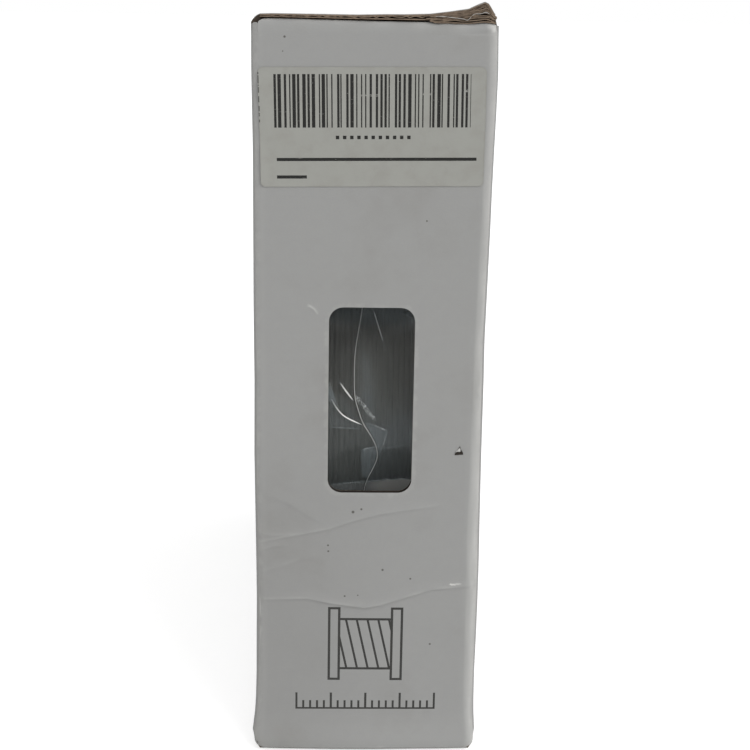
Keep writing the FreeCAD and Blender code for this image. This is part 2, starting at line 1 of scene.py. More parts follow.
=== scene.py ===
import math
import bpy
import numpy as np
from mathutils import Matrix, Vector
from mathutils.geometry import delaunay_2d_cdt


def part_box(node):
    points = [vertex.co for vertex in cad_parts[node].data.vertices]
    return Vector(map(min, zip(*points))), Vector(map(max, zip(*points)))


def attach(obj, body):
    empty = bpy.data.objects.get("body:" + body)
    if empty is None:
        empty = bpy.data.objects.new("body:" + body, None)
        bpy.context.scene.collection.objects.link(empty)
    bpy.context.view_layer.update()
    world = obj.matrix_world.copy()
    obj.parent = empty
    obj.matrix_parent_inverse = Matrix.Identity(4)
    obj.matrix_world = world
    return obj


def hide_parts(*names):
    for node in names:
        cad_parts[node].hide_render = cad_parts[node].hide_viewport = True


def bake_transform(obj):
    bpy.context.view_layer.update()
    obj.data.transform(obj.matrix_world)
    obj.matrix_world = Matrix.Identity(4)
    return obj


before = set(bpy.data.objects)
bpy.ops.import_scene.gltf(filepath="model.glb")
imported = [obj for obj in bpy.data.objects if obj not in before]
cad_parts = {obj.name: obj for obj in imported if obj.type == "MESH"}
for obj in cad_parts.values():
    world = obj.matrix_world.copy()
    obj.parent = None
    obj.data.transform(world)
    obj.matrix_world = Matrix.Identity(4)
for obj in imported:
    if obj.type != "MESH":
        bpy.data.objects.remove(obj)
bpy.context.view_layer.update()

# In metres.
MILLIMETRE = 0.001


def box(node):
    """Lowest and highest corner of a CAD node at rest, in millimetres."""
    return np.array(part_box(node)) / MILLIMETRE


def lowest(node):
    """Lowest corner of a CAD node, to a hundredth of a millimetre."""
    return np.round(box(node)[0], 2)


def highest(node):
    """Highest corner of a CAD node, to a hundredth of a millimetre."""
    return np.round(box(node)[1], 2)


# The carton, in millimetres. The right wall's top edge is crushed near the front.
HALF_WIDTH, _, TOP = highest("right_panel")
HALF_DEPTH = highest("back_panel")[1]
BOARD = lowest("bottom_left_flap")[2]
LID_END = highest("top_lid")[1]
CUT_INSET = HALF_DEPTH - LID_END
DUST_FACE = highest("top_front_dust_flap")[2]
DUST_TIP = -highest("top_front_dust_flap")[1]
DUST_LENGTH = HALF_DEPTH - DUST_TIP
DUST_LEFT = 4.0 - HALF_WIDTH
DUST_RIGHT = 28.47
DUST_SLANT = math.tan(math.radians(31))
DUST_TAPER = math.tan(math.radians(6))
DUST_CORNER = 5.0
GAP = round(TOP - BOARD - DUST_FACE, 2)
GLUE_EDGE = -highest("glue_flap")[0]
GLUE_LOW = lowest("glue_flap")[2]
GLUE_HIGH = highest("glue_flap")[2]
GLUE_SLOPE = 12.0
CREASE_LEFT = -32.0
CREASE_RIGHT = 33.35
CRUSHED_TOP = 220.8
CRUSH_START = -96.5
CRUSH_FULL = -100.5
WINDOW_SIZE = (25.0, 56.5)
WINDOW_MIDDLE = (0.5, 113.0)
WINDOW_CORNER = 4.2
FLUTE_PITCH = 3.2
LINER = 0.35
FLUTE_PAPER = 0.2

# A fold: its outer radius, half its length, and how much shorter that is than a square corner.
FOLD = 2.6
HALF_FOLD = FOLD * math.pi / 4
FOLD_SHORT = FOLD - HALF_FOLD

# The flap that tucks in behind the right wall, its fold's middle, and where its flat part starts.
TUCK_FACE = HALF_WIDTH - BOARD - GAP
TUCK_END = highest("top_tuck_flap")[1]
TUCK_LEAN = math.radians(11)
TUCK_LENGTH = 14.0
TUCK_CORNER = 8.0
TUCK_RUN = FOLD * (1 + math.sin(TUCK_LEAN)) / math.cos(TUCK_LEAN)
TUCK_FOLD_X = TUCK_FACE - TUCK_RUN
TUCK_FOLD_TURN = math.pi / 2 + TUCK_LEAN

# The label.
LABEL_X, _, LABEL_Z = np.round(box("front_label").mean(axis=0), 2)
LABEL_SIZE = (62.6, 33.1)
LABEL_CORNER = 1.4
LABEL_TILT = math.radians(0.9)
LABEL_PAPER = round(-HALF_DEPTH - lowest("front_label")[1], 2)
PRINT_X = -0.1
PRINT_Z = 192.3

# The spool, its winding and the bag round it.
FLANGE_OUTSIDE, RIM_RADIUS, SPOOL_TOP = highest("spool_right_half")
AXIS_HEIGHT = SPOOL_TOP - RIM_RADIUS
WINDING_HALF = highest("filament_core")[0]
FLANGE_INSIDE = WINDING_HALF + GAP
BARREL_RADIUS = 45.0
BARREL_INSIDE = 42.0
BORE_RADIUS = 26.5
PARKING_RADIUS = 94.0
PARKING_HOLE = 2.0
WINDING_RADIUS = 87.0
FILAMENT = 1.75
FILM_RADIUS = 100.42
FILM_SIDE = 29.45

X, Y, Z = np.eye(3)


def waves(points, seed, length, count=6):
    """Smooth noise of about -1 to 1: plane waves of about the given length, added up."""
    draw = np.random.default_rng(seed)
    total = np.zeros(len(points))
    for _ in range(count):
        way = draw.normal(size=points.shape[1])
        way *= 2 * math.pi / (length * draw.uniform(0.7, 1.5) * np.linalg.norm(way))
        total += np.sin(points @ way + draw.uniform(0, 2 * math.pi))
    return total / math.sqrt(2 * count)


def smooth(value, low, high):
    """0 at low, 1 at high, and a smooth step between."""
    share = np.clip((value - low) / (high - low), 0, 1)
    return share * share * (3 - 2 * share)


def bell(value, width):
    """1 at zero, falling off on both sides."""
    return np.exp(-((value / width) ** 2))


def off_line(points, line):
    """Distance of flat points from a broken line, above zero on its left, and how far along it, 0 to 1."""
    line = np.asarray(line, float)
    runs = np.linalg.norm(np.diff(line, axis=0), axis=1)
    starts = np.concatenate(([0], np.cumsum(runs)))
    best = np.full(len(points), 1e9)
    share = np.zeros(len(points))
    side = np.ones(len(points))
    for index, run in enumerate(runs):
        step = line[index + 1] - line[index]
        apart = points - line[index]
        along = np.clip(apart @ step / run ** 2, 0, 1)
        away = np.linalg.norm(apart - along[:, None] * step, axis=1)
        nearer = away < best
        best[nearer] = away[nearer]
        share[nearer] = ((starts[index] + along * run) / starts[-1])[nearer]
        side[nearer] = np.sign(step[0] * apart[:, 1] - step[1] * apart[:, 0])[nearer]
    return best * side, share


def fine_line(line, spacing, scale=1.0):
    """The line with close points and rounded corners. scale is the length of a unit of its second axis."""
    line = np.asarray(line, float)
    for _ in range(3):
        halves = np.empty((2 * len(line) - 2, 2))
        halves[0::2] = 0.75 * line[:-1] + 0.25 * line[1:]
        halves[1::2] = 0.25 * line[:-1] + 0.75 * line[1:]
        line = np.concatenate((line[:1], halves, line[-1:]))
    steps = np.linalg.norm(np.diff(line, axis=0) * (1, scale), axis=1)
    runs = np.concatenate(([0], np.cumsum(steps)))
    stops = np.linspace(0, runs[-1], max(3, int(runs[-1] / spacing)))
    return np.column_stack([np.interp(stops, runs, line[:, axis]) for axis in (0, 1)])


# Wear of the front face, from the photo, as x and z on the face in millimetres:
# a broken line, the height of the ridge, its width and how white it is: worn white, and a painted highlight
# on its upper side.
FACE_RIDGES = (
    (((-33.0, 68.8), (-21.2, 71.2), (-11.6, 73.2), (-4.4, 75.8), (4.0, 78.1), (20.8, 80.8)),
     0.36, 0.62, 0.10),
    (((-31.5, 50.4), (-18.1, 50.8), (-10.2, 49.2), (-0.3, 47.9), (4.5, 48.9), (13.7, 51.9), (19.7, 53.9),
      (33.4, 55.4)), 0.46, 0.60, 0.12),
    (((25.6, 55.6), (26.4, 55.5), (27.2, 55.7), (28.4, 55.7)), 0.10, 0.30, 1.4),
    (((-33.4, 72.0), (-29.0, 71.0), (-22.0, 71.4)), 0.16, 0.60, 0.05),
    (((-33.0, 66.2), (-28.0, 67.6), (-24.0, 67.9)), 0.18, 0.60, 0.05),
    (((-32.0, 59.6), (-26.0, 61.0), (-20.0, 63.6), (-15.0, 64.0)), 0.16, 0.80, 0.04),
    (((-31.0, 84.0), (-24.0, 81.5), (-17.0, 77.0), (-12.0, 74.2)), 0.14, 0.90, 0.0),
    (((24.0, 218.2), (29.0, 218.6), (33.2, 218.7)), -0.30, 0.60, 0.0),
    (((29.2, 219.3), (30.6, 219.9), (31.8, 219.1)), 0.10, 0.60, 3.0),
    (((-31.0, 220.2), (0.0, 219.9), (24.0, 219.4), (33.0, 219.2)), 0.06, 1.50, 0.22),
    (((-17.6, 141.4), (-16.4, 140.6), (-15.5, 139.3)), 0.12, 0.45, 0.5),
    (((-33.2, 30.0), (-32.6, 41.0), (-33.0, 50.4)), 0.05, 0.40, 0.35),
)
# x, z, depth and radius of shallow dents in the front face.
FACE_DENTS = (
    (-20.0, 30.0, 0.30, 14.0), (18.0, 96.0, 0.20, 9.0), (-25.0, 158.0, 0.18, 12.0), (24.0, 33.0, 0.25, 10.0),
    (5.0, 164.0, 0.15, 16.0), (-22.0, 100.0, 0.20, 10.0), (-26.0, 76.0, 0.30, 7.0),
)
# x, z and radius of dark specks on the front face.
FACE_SPECKS = (
    (-24.9, 217.0, 0.36), (-4.3, 78.6, 0.50), (-1.8, 79.5, 0.36), (-11.7, 67.9, 0.34), (4.9, 60.1, 0.40),
    (13.4, 57.3, 0.34), (19.9, 35.7, 0.36), (-6.5, 51.5, 0.34), (-25.4, 213.1, 0.2), (-2.5, 51.8, 0.25),
    (-11.6, 66.0, 0.34), (-32.6, 3.0, 0.40), (32.8, 1.6, 0.40),
)
# The right front edge is rolled back from a score line: its x by height.
SCORE_Z = (0.0, 16.4, 69.6, 120.0, 172.7, 223.0)
SCORE_X = (31.0, 30.4, 29.9, 30.6, 31.0, 31.2)
# How far the front's right edge leans out and its left edge leans in, by height.
EDGE_Z = (
    0.0, 0.9, 1.5, 2.3, 3.5, 5.0, 8.0, 12.0, 17.0, 25.0, 37.0, 49.0, 61.0, 73.0, 96.0, 119.0, 131.0, 142.0,
    164.0, 175.0, 186.0, 197.0, 208.0, 223.0,
)
RIGHT_OUT = (
    -1.3, -0.6, 0.2, 0.8, 1.1, 1.15, 0.95, 0.65, 0.55, 0.45, 0.6, 0.65, 0.6, 0.4, 0.1, -0.1, -0.3, -0.1,
    0.3, 0.4, 0.6, 0.85, 1.0, 0.5,
)
LEFT_IN = (
    1.7, 1.0, 0.2, -0.4, -0.85, -1.0, -0.6, -0.05, 0.25, 0.5, 0.6, 0.75, 0.65, 0.45, 0.1, 0.3, 0.2, 0.1,
    0.05, 0.05, 0.05, -0.15, -0.35, -0.35,
)
# How far the front's top fold is pushed up under the lid, by x.
RISE_X = (-32.0, -20.0, 0.0, 20.0, 33.0)
RISE_UP = (1.15, 1.10, 0.90, 0.85, 1.05)
# Height of the lid's front edge above the rest of the lid, by x: its right corner was pulled up.
LIFT_X = (-33.0, -28.0, -5.0, 3.0, 8.0, 15.0, 20.7, 25.8, 28.0, 29.8, 30.8, 31.5, 32.4, 33.4)
LIFT_UP = (0.0, 0.2, 0.2, 0.45, 0.5, 0.75, 1.5, 2.3, 3.4, 4.2, 3.7, 2.6, 1.1, 0.5)


def score(z):
    """x of the score line at each height."""
    return np.interp(z, SCORE_Z, SCORE_X)


def front_relief(points):
    """How far the front face stands out at each point."""
    flat = points[:, (0, 2)]
    out = 0.14 * waves(flat, 3, 55.0) + 0.04 * waves(flat, 4, 17.0)
    for line, height, width, _ in FACE_RIDGES:
        away, share = off_line(flat, line)
        steep = np.where(away > 0, 1.9 * width, 0.75 * width)
        ridge = bell(away, steep) + 0.3 * bell(away, 4 * width)
        out += height * ridge * (0.3 + 0.7 * np.sin(math.pi * share))
    for x, z, depth, radius in FACE_DENTS:
        out -= depth * bell(np.hypot(flat[:, 0] - x, flat[:, 1] - z), radius)
    return out


def front_scuff(flat):
    """How white the front face is at each x and z: worn white, painted highlights on the ridges' upper sides
    and the bevel past the score line, and a little whiter at the left fold.
    """
    worn_and_lit = np.zeros(len(flat))
    patchy = np.clip(0.6 + 0.6 * waves(flat, 7, 9.0), 0, 1)
    for line, _, width, white in FACE_RIDGES:
        away, _ = off_line(flat, line)
        # Whitening on each ridge's upper side: worn white on the small marks, a painted highlight where
        # light catches the long ridges.
        worn_and_lit += white * bell(away - 0.3 * width, 0.6 * width) * patchy
    past_score = flat[:, 0] - score(flat[:, 1])
    # The bevel past the score line is whitened: a painted highlight where it turns towards the light.
    worn_and_lit += smooth(past_score, -0.8, 2.4) * np.clip(0.42 + 0.12 * waves(flat * (1, 0.1), 8, 1.8), 0, 1)
    worn_and_lit += 0.10 * smooth(-flat[:, 0], 30.0, 32.6)
    return np.clip(worn_and_lit, 0, 1)


def front_detail():
    """Extra points for the front face: rows beside each ridge and beside the score line."""
    rows = []
    for line, _, width, _ in FACE_RIDGES:
        path = fine_line(line, 0.6)
        way = np.gradient(path, axis=0)
        aside = np.column_stack((-way[:, 1], way[:, 0])) / np.linalg.norm(way, axis=1)[:, None]
        rows += [path + offset * width * aside for offset in (-1.6, -0.8, -0.4, 0.0, 0.4, 0.8, 1.6)]
    heights = np.arange(2.0, 217.0, 1.0)
    rows += [np.column_stack((score(heights) + offset, heights)) for offset in (-0.3, 0.0, 0.3)]
    return np.concatenate(rows)


def crush(points):
    """The carton's wear: what was square and flat, as it stands after shipping."""
    points = np.asarray(points, float)
    x, y, z = points.T
    moved = points.copy()
    behind = np.clip(y + HALF_DEPTH, 0, None)
    inside = smooth(HALF_WIDTH - np.abs(x), 0.3, 4.0)
    at_front = np.exp(-behind / 5.0)
    moved[:, 1] -= front_relief(points) * at_front * inside
    past_score = np.clip(x - score(z), 0, None)
    moved[:, 1] += (0.18 + 0.09 * past_score) * past_score * at_front * smooth(z, 0.0, 6.0)
    near_front = np.exp(-behind / 25.0)
    moved[:, 0] += np.interp(z, EDGE_Z, RIGHT_OUT) * smooth(x, 26.0, 33.0) * near_front
    moved[:, 0] += np.interp(z, EDGE_Z, LEFT_IN) * smooth(-x, 26.0, 33.0) * near_front
    belly = 2.0 + 0.9 * np.clip(1 - (x / HALF_WIDTH) ** 2, 0, 1)
    moved[:, 1] -= belly * bell(z, 7.0) * np.exp(-behind / 4.0)
    level = np.clip(np.sin(math.pi * np.clip(z, 0, TOP) / TOP), 0, 1)
    run = np.clip(1 - (y / HALF_DEPTH) ** 2, 0, 1)
    bulge = 0.55 * level * run + 0.22 * waves(points[:, (1, 2)], 9, 70.0) * np.sqrt(level * run)
    moved[:, 0] += np.sign(x) * smooth(np.abs(x), 29.0, 32.0) * bulge
    at_back = np.exp(-np.clip(HALF_DEPTH - y, 0, None) / 5.0)
    moved[:, 1] += 0.2 * waves(points[:, (0, 2)], 12, 50.0) * at_back * inside
    return moved


def lift(points, share):
    """Worn points of the lid, with its front right corner raised by a share of its full lift."""
    moved = crush(points)
    fade = bell(np.clip(points[:, 1] + LID_END, 0, None), 15.0)
    moved[:, 2] += share * fade * np.interp(points[:, 0], LIFT_X, LIFT_UP)
    return moved


class Value:
    """A number that nodes work out. Sums of values become math nodes, and | takes the larger of two."""

    def __init__(self, nodes, socket):
        self.nodes = nodes
        self.socket = socket

    def math(self, operation, other=0.0):
        return self.nodes.add("Math", {0: self, 1: other}, 0, operation=operation)

    def __add__(self, other):
        return self.math("ADD", other)

    def __sub__(self, other):
        return self.math("SUBTRACT", other)

    def __mul__(self, other):
        return self.math("MULTIPLY", other)

    def __lt__(self, other):
        return self.math("LESS_THAN", other)

    def __gt__(self, other):
        return self.math("GREATER_THAN", other)

    def __or__(self, other):
        return self.math("MAXIMUM", other)

    def __abs__(self):
        return self.math("ABSOLUTE")

    def ramp(self, low, high, start=0.0, end=1.0):
        """start at low, end at high, and a smooth step between."""
        inputs = {"Value": self, "From Min": low, "From Max": high, "To Min": start, "To Max": end}
        return self.nodes.add("MapRange", inputs, "Result", interpolation_type="SMOOTHSTEP")


class Nodes:
    """A node tree, put together from short sums."""

    def __init__(self, tree):
        self.tree = tree

    def feed(self, socket, value):
        if isinstance(value, Value):
            self.tree.links.new(value.socket, socket)
        else:
            socket.default_value = value + (1.0,) if isinstance(value, tuple) else value

    def add(self, kind, inputs, *outputs, **settings):
        """Adds a node. Inputs and outputs go by name or number. Gives the outputs asked for."""
        node = self.tree.nodes.new("ShaderNode" + kind)
        for name, value in settings.items():
            setattr(node, name, value)
        for name, value in inputs.items():
            self.feed(node.inputs[name], value)
        values = [Value(self, node.outputs[output]) for output in outputs]
        return values[0] if len(values) == 1 else values

    def mark(self, name, output="Fac"):
        """A mark that the mesh has at each point."""
        return self.add("Attribute", {}, output, attribute_name=name)

    def place(self):
        return self.add("TexCoord", {}, "Object")

    def split(self, vector):
        return self.add("SeparateXYZ", {0: vector}, 0, 1, 2)

    def join(self, x, y, z=0.0):
        return self.add("CombineXYZ", {0: x, 1: y, 2: z}, 0)

    def noise(self, vector, scale, detail=3.0, roughness=0.55):
        inputs = {"Vector": vector, "Scale": scale, "Detail": detail, "Roughness": roughness}
        return self.add("TexNoise", inputs, "Fac")

    def cells(self, vector, scale):
        """Distance to the nearest of scattered points, and a random number for that point."""
        near, colour = self.add("TexVoronoi", {"Vector": vector, "Scale": scale}, "Distance", "Color")
        return near, self.split(colour)[0]

    def chance(self, value):
        """A random number for each whole number."""
        return self.add("TexWhiteNoise", {"W": value}, "Value", noise_dimensions="1D")

    def blend(self, amount, first, second):
        """A colour between two others."""
        return self.add("Mix", {0: amount, 6: first, 7: second}, 2, data_type="RGBA")

    def shade(self, colour, factor):
        """Multiplies a colour by a number."""
        return self.add("VectorMath", {0: colour, "Scale": factor}, 0, operation="SCALE")


class Material(Nodes):
    """A material with one Principled shader."""

    def __init__(self, name):
        self.material = bpy.data.materials.new(name)
        self.material.use_nodes = True
        super().__init__(self.material.node_tree)
        self.surface = self.tree.nodes["Principled BSDF"]

    def set(self, colour, roughness, gloss=0.5, alpha=1.0):
        values = {"Base Color": colour, "Roughness": roughness, "Specular IOR Level": gloss, "Alpha": alpha}
        for name, value in values.items():
            self.feed(self.surface.inputs[name], value)

    def bump(self, height, depth, strength):
        """height is 0 to 1 and depth is in millimetres."""
        inputs = {"Strength": strength, "Distance": depth * MILLIMETRE, "Height": height}
        self.feed(self.surface.inputs["Normal"], self.add("Bump", inputs, 0))


PAPER = (0.318, 0.318, 0.311)
PAPER_DIRTY = (0.245, 0.238, 0.220)
PAPER_WORN = (0.42, 0.415, 0.40)
# Torn and worn white paper, also the colour of painted highlights on the front face.
PAPER_TORN_AND_HIGHLIGHT = (0.66, 0.655, 0.63)
PAPER_SPECK = (0.10, 0.09, 0.08)
FACE_SPECK = (0.070, 0.064, 0.056)
KRAFT = (0.230, 0.170, 0.120)
KRAFT_DARK = (0.128, 0.094, 0.067)
INK = (0.022, 0.022, 0.020)
LABEL_PALE = (0.334, 0.335, 0.309)
LABEL_DULL = (0.312, 0.309, 0.284)
LABEL_SOILED = (0.20, 0.19, 0.17)
# Print ink, also the colour of a painted shadow along the label's left edge.
LABEL_INK_AND_SHADOW = (0.009, 0.009, 0.008)
FILM_CLEAR = (0.37, 0.40, 0.37)
FILM_BLUISH = (0.36, 0.42, 0.44)
# Milky film, also the colour of painted highlights on the creases.
FILM_MILKY_AND_HIGHLIGHT = (0.97, 0.97, 0.94)

# The tone of a board's cut edge, as a share of the plain brown's.
EDGE_TONE = 0.72
# The sign of a spool and the scale of ticks on the front face, as x and z in millimetres.
SIGN_Z = 35.7
FLANGE_X = 9.6
SIGN_TURN = 3.3
SCALE_X = 0.3
SCALE_HALF = 21.7
SCALE_START = -21.1
SCALE_STEP = 2.14
# Width of the place that each of the label's bars has.
BAR_SLOT = 1.34
# Middle and half size of the places where the label's ink is scratched off, from the middle of the print.
LABEL_SCRATCHES = ((-1.2, 9.2, 2.9, 0.28), (15.0, 9.4, 1.2, 0.3), (25.9, 10.4, 0.4, 0.35))


def patch(u, v, middle_u, middle_v, half_u, half_v):
    """1 inside a rectangle, and 0 elsewhere."""
    return (abs(u - middle_u) < half_u) * (abs(v - middle_v) < half_v)


def spool_sign(u, v):
    """A plain sign of a spool seen from its side: two flanges and slanted turns between them."""
    barrel = patch(u, v, 0.0, SIGN_Z, 7.75, 8.6)
    slant = ((u + v * 0.22) * (1 / SIGN_TURN)).math("FRACT")
    ink = (barrel - patch(u, v, 0.0, SIGN_Z, 7.75, 7.85)) | (barrel * (slant < 0.21))
    for x in (-FLANGE_X, FLANGE_X):
        ink = ink | (patch(u, v, x, SIGN_Z, 1.9, 12.2) - patch(u, v, x, SIGN_Z, 1.15, 11.45))
    return ink


def tick_scale(u, v):
    """A plain row of ticks on a line."""
    step = (u - SCALE_START) * (1 / SCALE_STEP)
    tick = step.math("PINGPONG", 0.5) < 0.15
    long_tick = (step * 0.2).math("PINGPONG", 0.5) < 0.032
    short_row = tick * patch(u, v, SCALE_X, 15.3, SCALE_HALF, 1.3)
    long_row = long_tick * patch(u, v, SCALE_X, 16.6, SCALE_HALF, 2.6)
    return patch(u, v, SCALE_X, 14.0, SCALE_HALF, 0.28) | short_row | long_row


def front_specks(u, v):
    """Small dark spots, and a slight darkening towards the lower left."""
    dark = v.ramp(130.0, 40.0) * u.ramp(20.0, -30.0, 0.0, 0.11)
    for x, z, radius in FACE_SPECKS:
        across = u - x
        upward = v - z
        away = (across * across + upward * upward).math("SQRT")
        dark = dark | away.ramp(radius * 1.2, radius * 0.5, 0.0, 0.85)
    return dark


def board_material(name, seed, is_front=False, flutes_along_u=True, edge_tone_and_shade=EDGE_TONE):
    """White-lined corrugated board: greyish white outside, brown inside and where it is cut."""
    paint = Material(name)
    u, v, depth = paint.split(paint.mark("board_mm", "Vector"))
    wear = paint.mark("wear")
    spot = paint.join(u + 61.0 * seed, v, 7.0 * seed)
    cloud = paint.noise(spot, 0.045, 4.0)
    mottle = paint.noise(spot, 0.35, 4.0)
    fibre = paint.noise(paint.join(u * 0.55, v + 19.0 * seed), 2.6, 3.0, 0.7)
    paper = paint.blend(cloud.ramp(0.50, 0.78, 0.0, 0.34), PAPER, PAPER_DIRTY)
    paper = paint.shade(paper, mottle * 0.10 + fibre * 0.07 + 0.925)
    near, which = paint.cells(spot, 0.075)
    paper = paint.blend((near < which * 0.030) * (which > 0.62) * 0.75, paper, PAPER_SPECK)
    paper = paint.blend((wear * 0.55 + mottle * 0.70).ramp(0.74, 1.0) * 0.40, paper, PAPER_WORN)
    paper = paint.blend((wear * 0.60 + fibre * 0.55).ramp(0.95, 1.05) * 0.6, paper, KRAFT)
    if is_front:
        faded = fibre.ramp(0.22, 0.42, 0.80, 0.96)
        paper = paint.blend((spool_sign(u, v) | tick_scale(u, v)) * faded, paper, INK)
        paper = paint.blend(front_specks(u, v), paper, FACE_SPECK)
    # White where paper is torn or worn, and on the front face painted highlights on the ridges and the
    # bevel.
    paper = paint.blend(paint.mark("scuff"), paper, PAPER_TORN_AND_HIGHLIGHT)
    streak = paint.noise(paint.join(u * 0.25, v, 3.0 * seed), 1.4, 4.0, 0.7)
    kraft = paint.blend(streak.ramp(0.25, 0.75), KRAFT_DARK, KRAFT)
    # Cut edges take the given share of the brown: their own darker tone by default, and painted shade where
    # a piece passes a low value.
    kraft = paint.shade(kraft, depth.ramp(0.955, 0.995, edge_tone_and_shade, 1.10))
    paint.set(paint.blend(depth.ramp(0.10, 0.05), kraft, paper), mottle.ramp(0.2, 0.8, 0.62, 0.80), 0.32)
    flute = ((v if flutes_along_u else u) * (2 * math.pi / FLUTE_PITCH)).math("SINE")
    paint.bump(fibre * 0.55 + mottle * 0.35 + flute * 0.10, 0.09, 0.5)
    return paint.material


def label_print(paint, u, v):
    """Where the label has ink: plain bars of random widths, a row of dots and two rules."""
    slot = (u + 40.0) * (1 / BAR_SLOT)
    number = slot.math("FLOOR")
    wide = (paint.chance(number) * 2.99).math("FLOOR") * 0.22 + 0.27
    into = slot.math("FRACT") - paint.chance(number + 300.5) * (wide * -1.0 + 0.88)
    bars = (into > 0.0) * (into < wide) * patch(u, v, -0.5, 7.67, 27.7, 7.33)
    dots = ((u * 0.5).math("PINGPONG", 0.5) < 0.24) * patch(u, v, 0.0, -2.4, 11.0, 0.5)
    return bars | dots | patch(u, v, 0.9, -8.5, 28.0, 0.45) | patch(u, v, -22.9, -13.4, 4.2, 0.45)


def label_material():
    """Matt paper label with worn print."""
    paint = Material("label_paper")
    u, v, _ = paint.split(paint.mark("board_mm", "Vector"))
    spot = paint.join(u, v, 4.0)
    mottle = paint.noise(spot, 0.22, 4.0)
    fibre = paint.noise(spot, 3.0, 3.0, 0.7)
    paper = paint.blend(mottle.ramp(0.40, 0.75), LABEL_PALE, LABEL_DULL)
    paper = paint.shade(paper, fibre * 0.08 + 0.96)
    scratch = paint.noise(paint.join(u * 0.35, v * 2.0, 9.0), 0.9, 4.0, 0.75)
    rough = paint.noise(paint.join(u, v * 3.0, 2.0), 2.2, 2.0)
    kept = scratch.ramp(0.62, 0.68, 1.0, 0.6)
    for place in LABEL_SCRATCHES:
        kept = kept * (patch(u, v, *place) * (rough > 0.46) * -0.85 + 1.0)
    paper = paint.blend(label_print(paint, u, v) * kept, paper, LABEL_INK_AND_SHADOW)
    # Dark dashes along the label's left edge: painted shadow under its lifted edge.
    shadow_dash = paint.noise(paint.join(0.0, v, 5.0), 0.8, 2.0)
    paper = paint.blend(patch(u, v, -31.62, 8.6, 0.15, 7.0) * (shadow_dash > 0.47) * 0.8, paper, LABEL_INK_AND_SHADOW)
    soiled = (paint.mark("wear") + mottle * 0.6).ramp(1.0, 1.35, 0.0, 0.20)
    paint.set(paint.blend(soiled, paper, LABEL_SOILED), fibre.ramp(0.2, 0.8, 0.52, 0.66), 0.25)
    paint.bump(fibre * 0.6 + mottle * 0.4, 0.05, 0.4)
    return paint.material


def film_material():
    """Clear bag film, whiter where it lies double or is milky; its milkiness mark also carries painted
    highlights on creases and painted light where the window's edges shade it.
    """
    paint = Material("bag_film")
    place = paint.place()
    cloud = paint.noise(place, 60.0, 4.0)
    fine = paint.noise(place, 420.0, 3.0, 0.6)
    milky_and_lit = paint.mark("haze") + cloud.ramp(0.50, 0.75, 0.0, 0.015)
    tint = paint.blend(milky_and_lit.ramp(0.03, 0.14), FILM_CLEAR, FILM_BLUISH)
    tint = paint.blend(milky_and_lit.ramp(0.16, 0.7), tint, FILM_MILKY_AND_HIGHLIGHT)
    paint.set(tint, fine.ramp(0.3, 0.7, 0.10, 0.24), 0.7, (milky_and_lit * 0.95 + 0.02).math("MINIMUM", 0.95))
    paint.bump(cloud * 0.7 + fine * 0.3, 0.25, 0.5)
    return paint.material


def filament_material():
    """Thread that is clear in itself and dark in the wound mass."""
    paint = Material("filament")
    place = paint.place()
    turn = paint.noise(paint.join(paint.split(place)[0] * 330.0, 0.0), 1.0, 2.0)
    cloud = paint.noise(place, 45.0, 3.0)
    tone = (turn * 0.6 + cloud * 0.4).ramp(0.3, 0.8)
    colour = paint.blend(tone, (0.047, 0.045, 0.042), (0.054, 0.052, 0.049))
    paint.set(colour, cloud.ramp(0.3, 0.7, 0.46, 0.56), 0.32)
    paint.bump(paint.noise(place, 900.0, 2.0), 0.03, 0.2)
    return paint.material


def spool_material():
    """Moulded plastic with a fine grain."""
    paint = Material("spool_plastic")
    place = paint.place()
    grain = paint.noise(place, 1500.0, 3.0, 0.6)
    tone = paint.noise(place, 30.0, 3.0).ramp(0.3, 0.7)
    colour = paint.blend(tone, (0.030, 0.031, 0.033), (0.046, 0.047, 0.050))
    paint.set(colour, grain.ramp(0.3, 0.7, 0.38, 0.55))
    paint.bump(grain, 0.05, 0.35)
    return paint.material


def sachet_material():
    """White porous paper with fine dots."""
    paint = Material("sachet_paper")
    place = paint.place()
    near, _ = paint.cells(place, 700.0)
    cloud = paint.noise(place, 90.0, 4.0)
    colour = paint.blend(cloud, (0.74, 0.73, 0.70), (0.66, 0.66, 0.63))
    colour = paint.shade(colour, near.ramp(0.15, 0.45) * 0.12 + cloud * 0.14 + 0.86)
    paint.set(colour, cloud.ramp(0.3, 0.7, 0.75, 0.9))
    paint.bump(near.ramp(0.1, 0.5), 0.06, 0.5)
    return paint.material


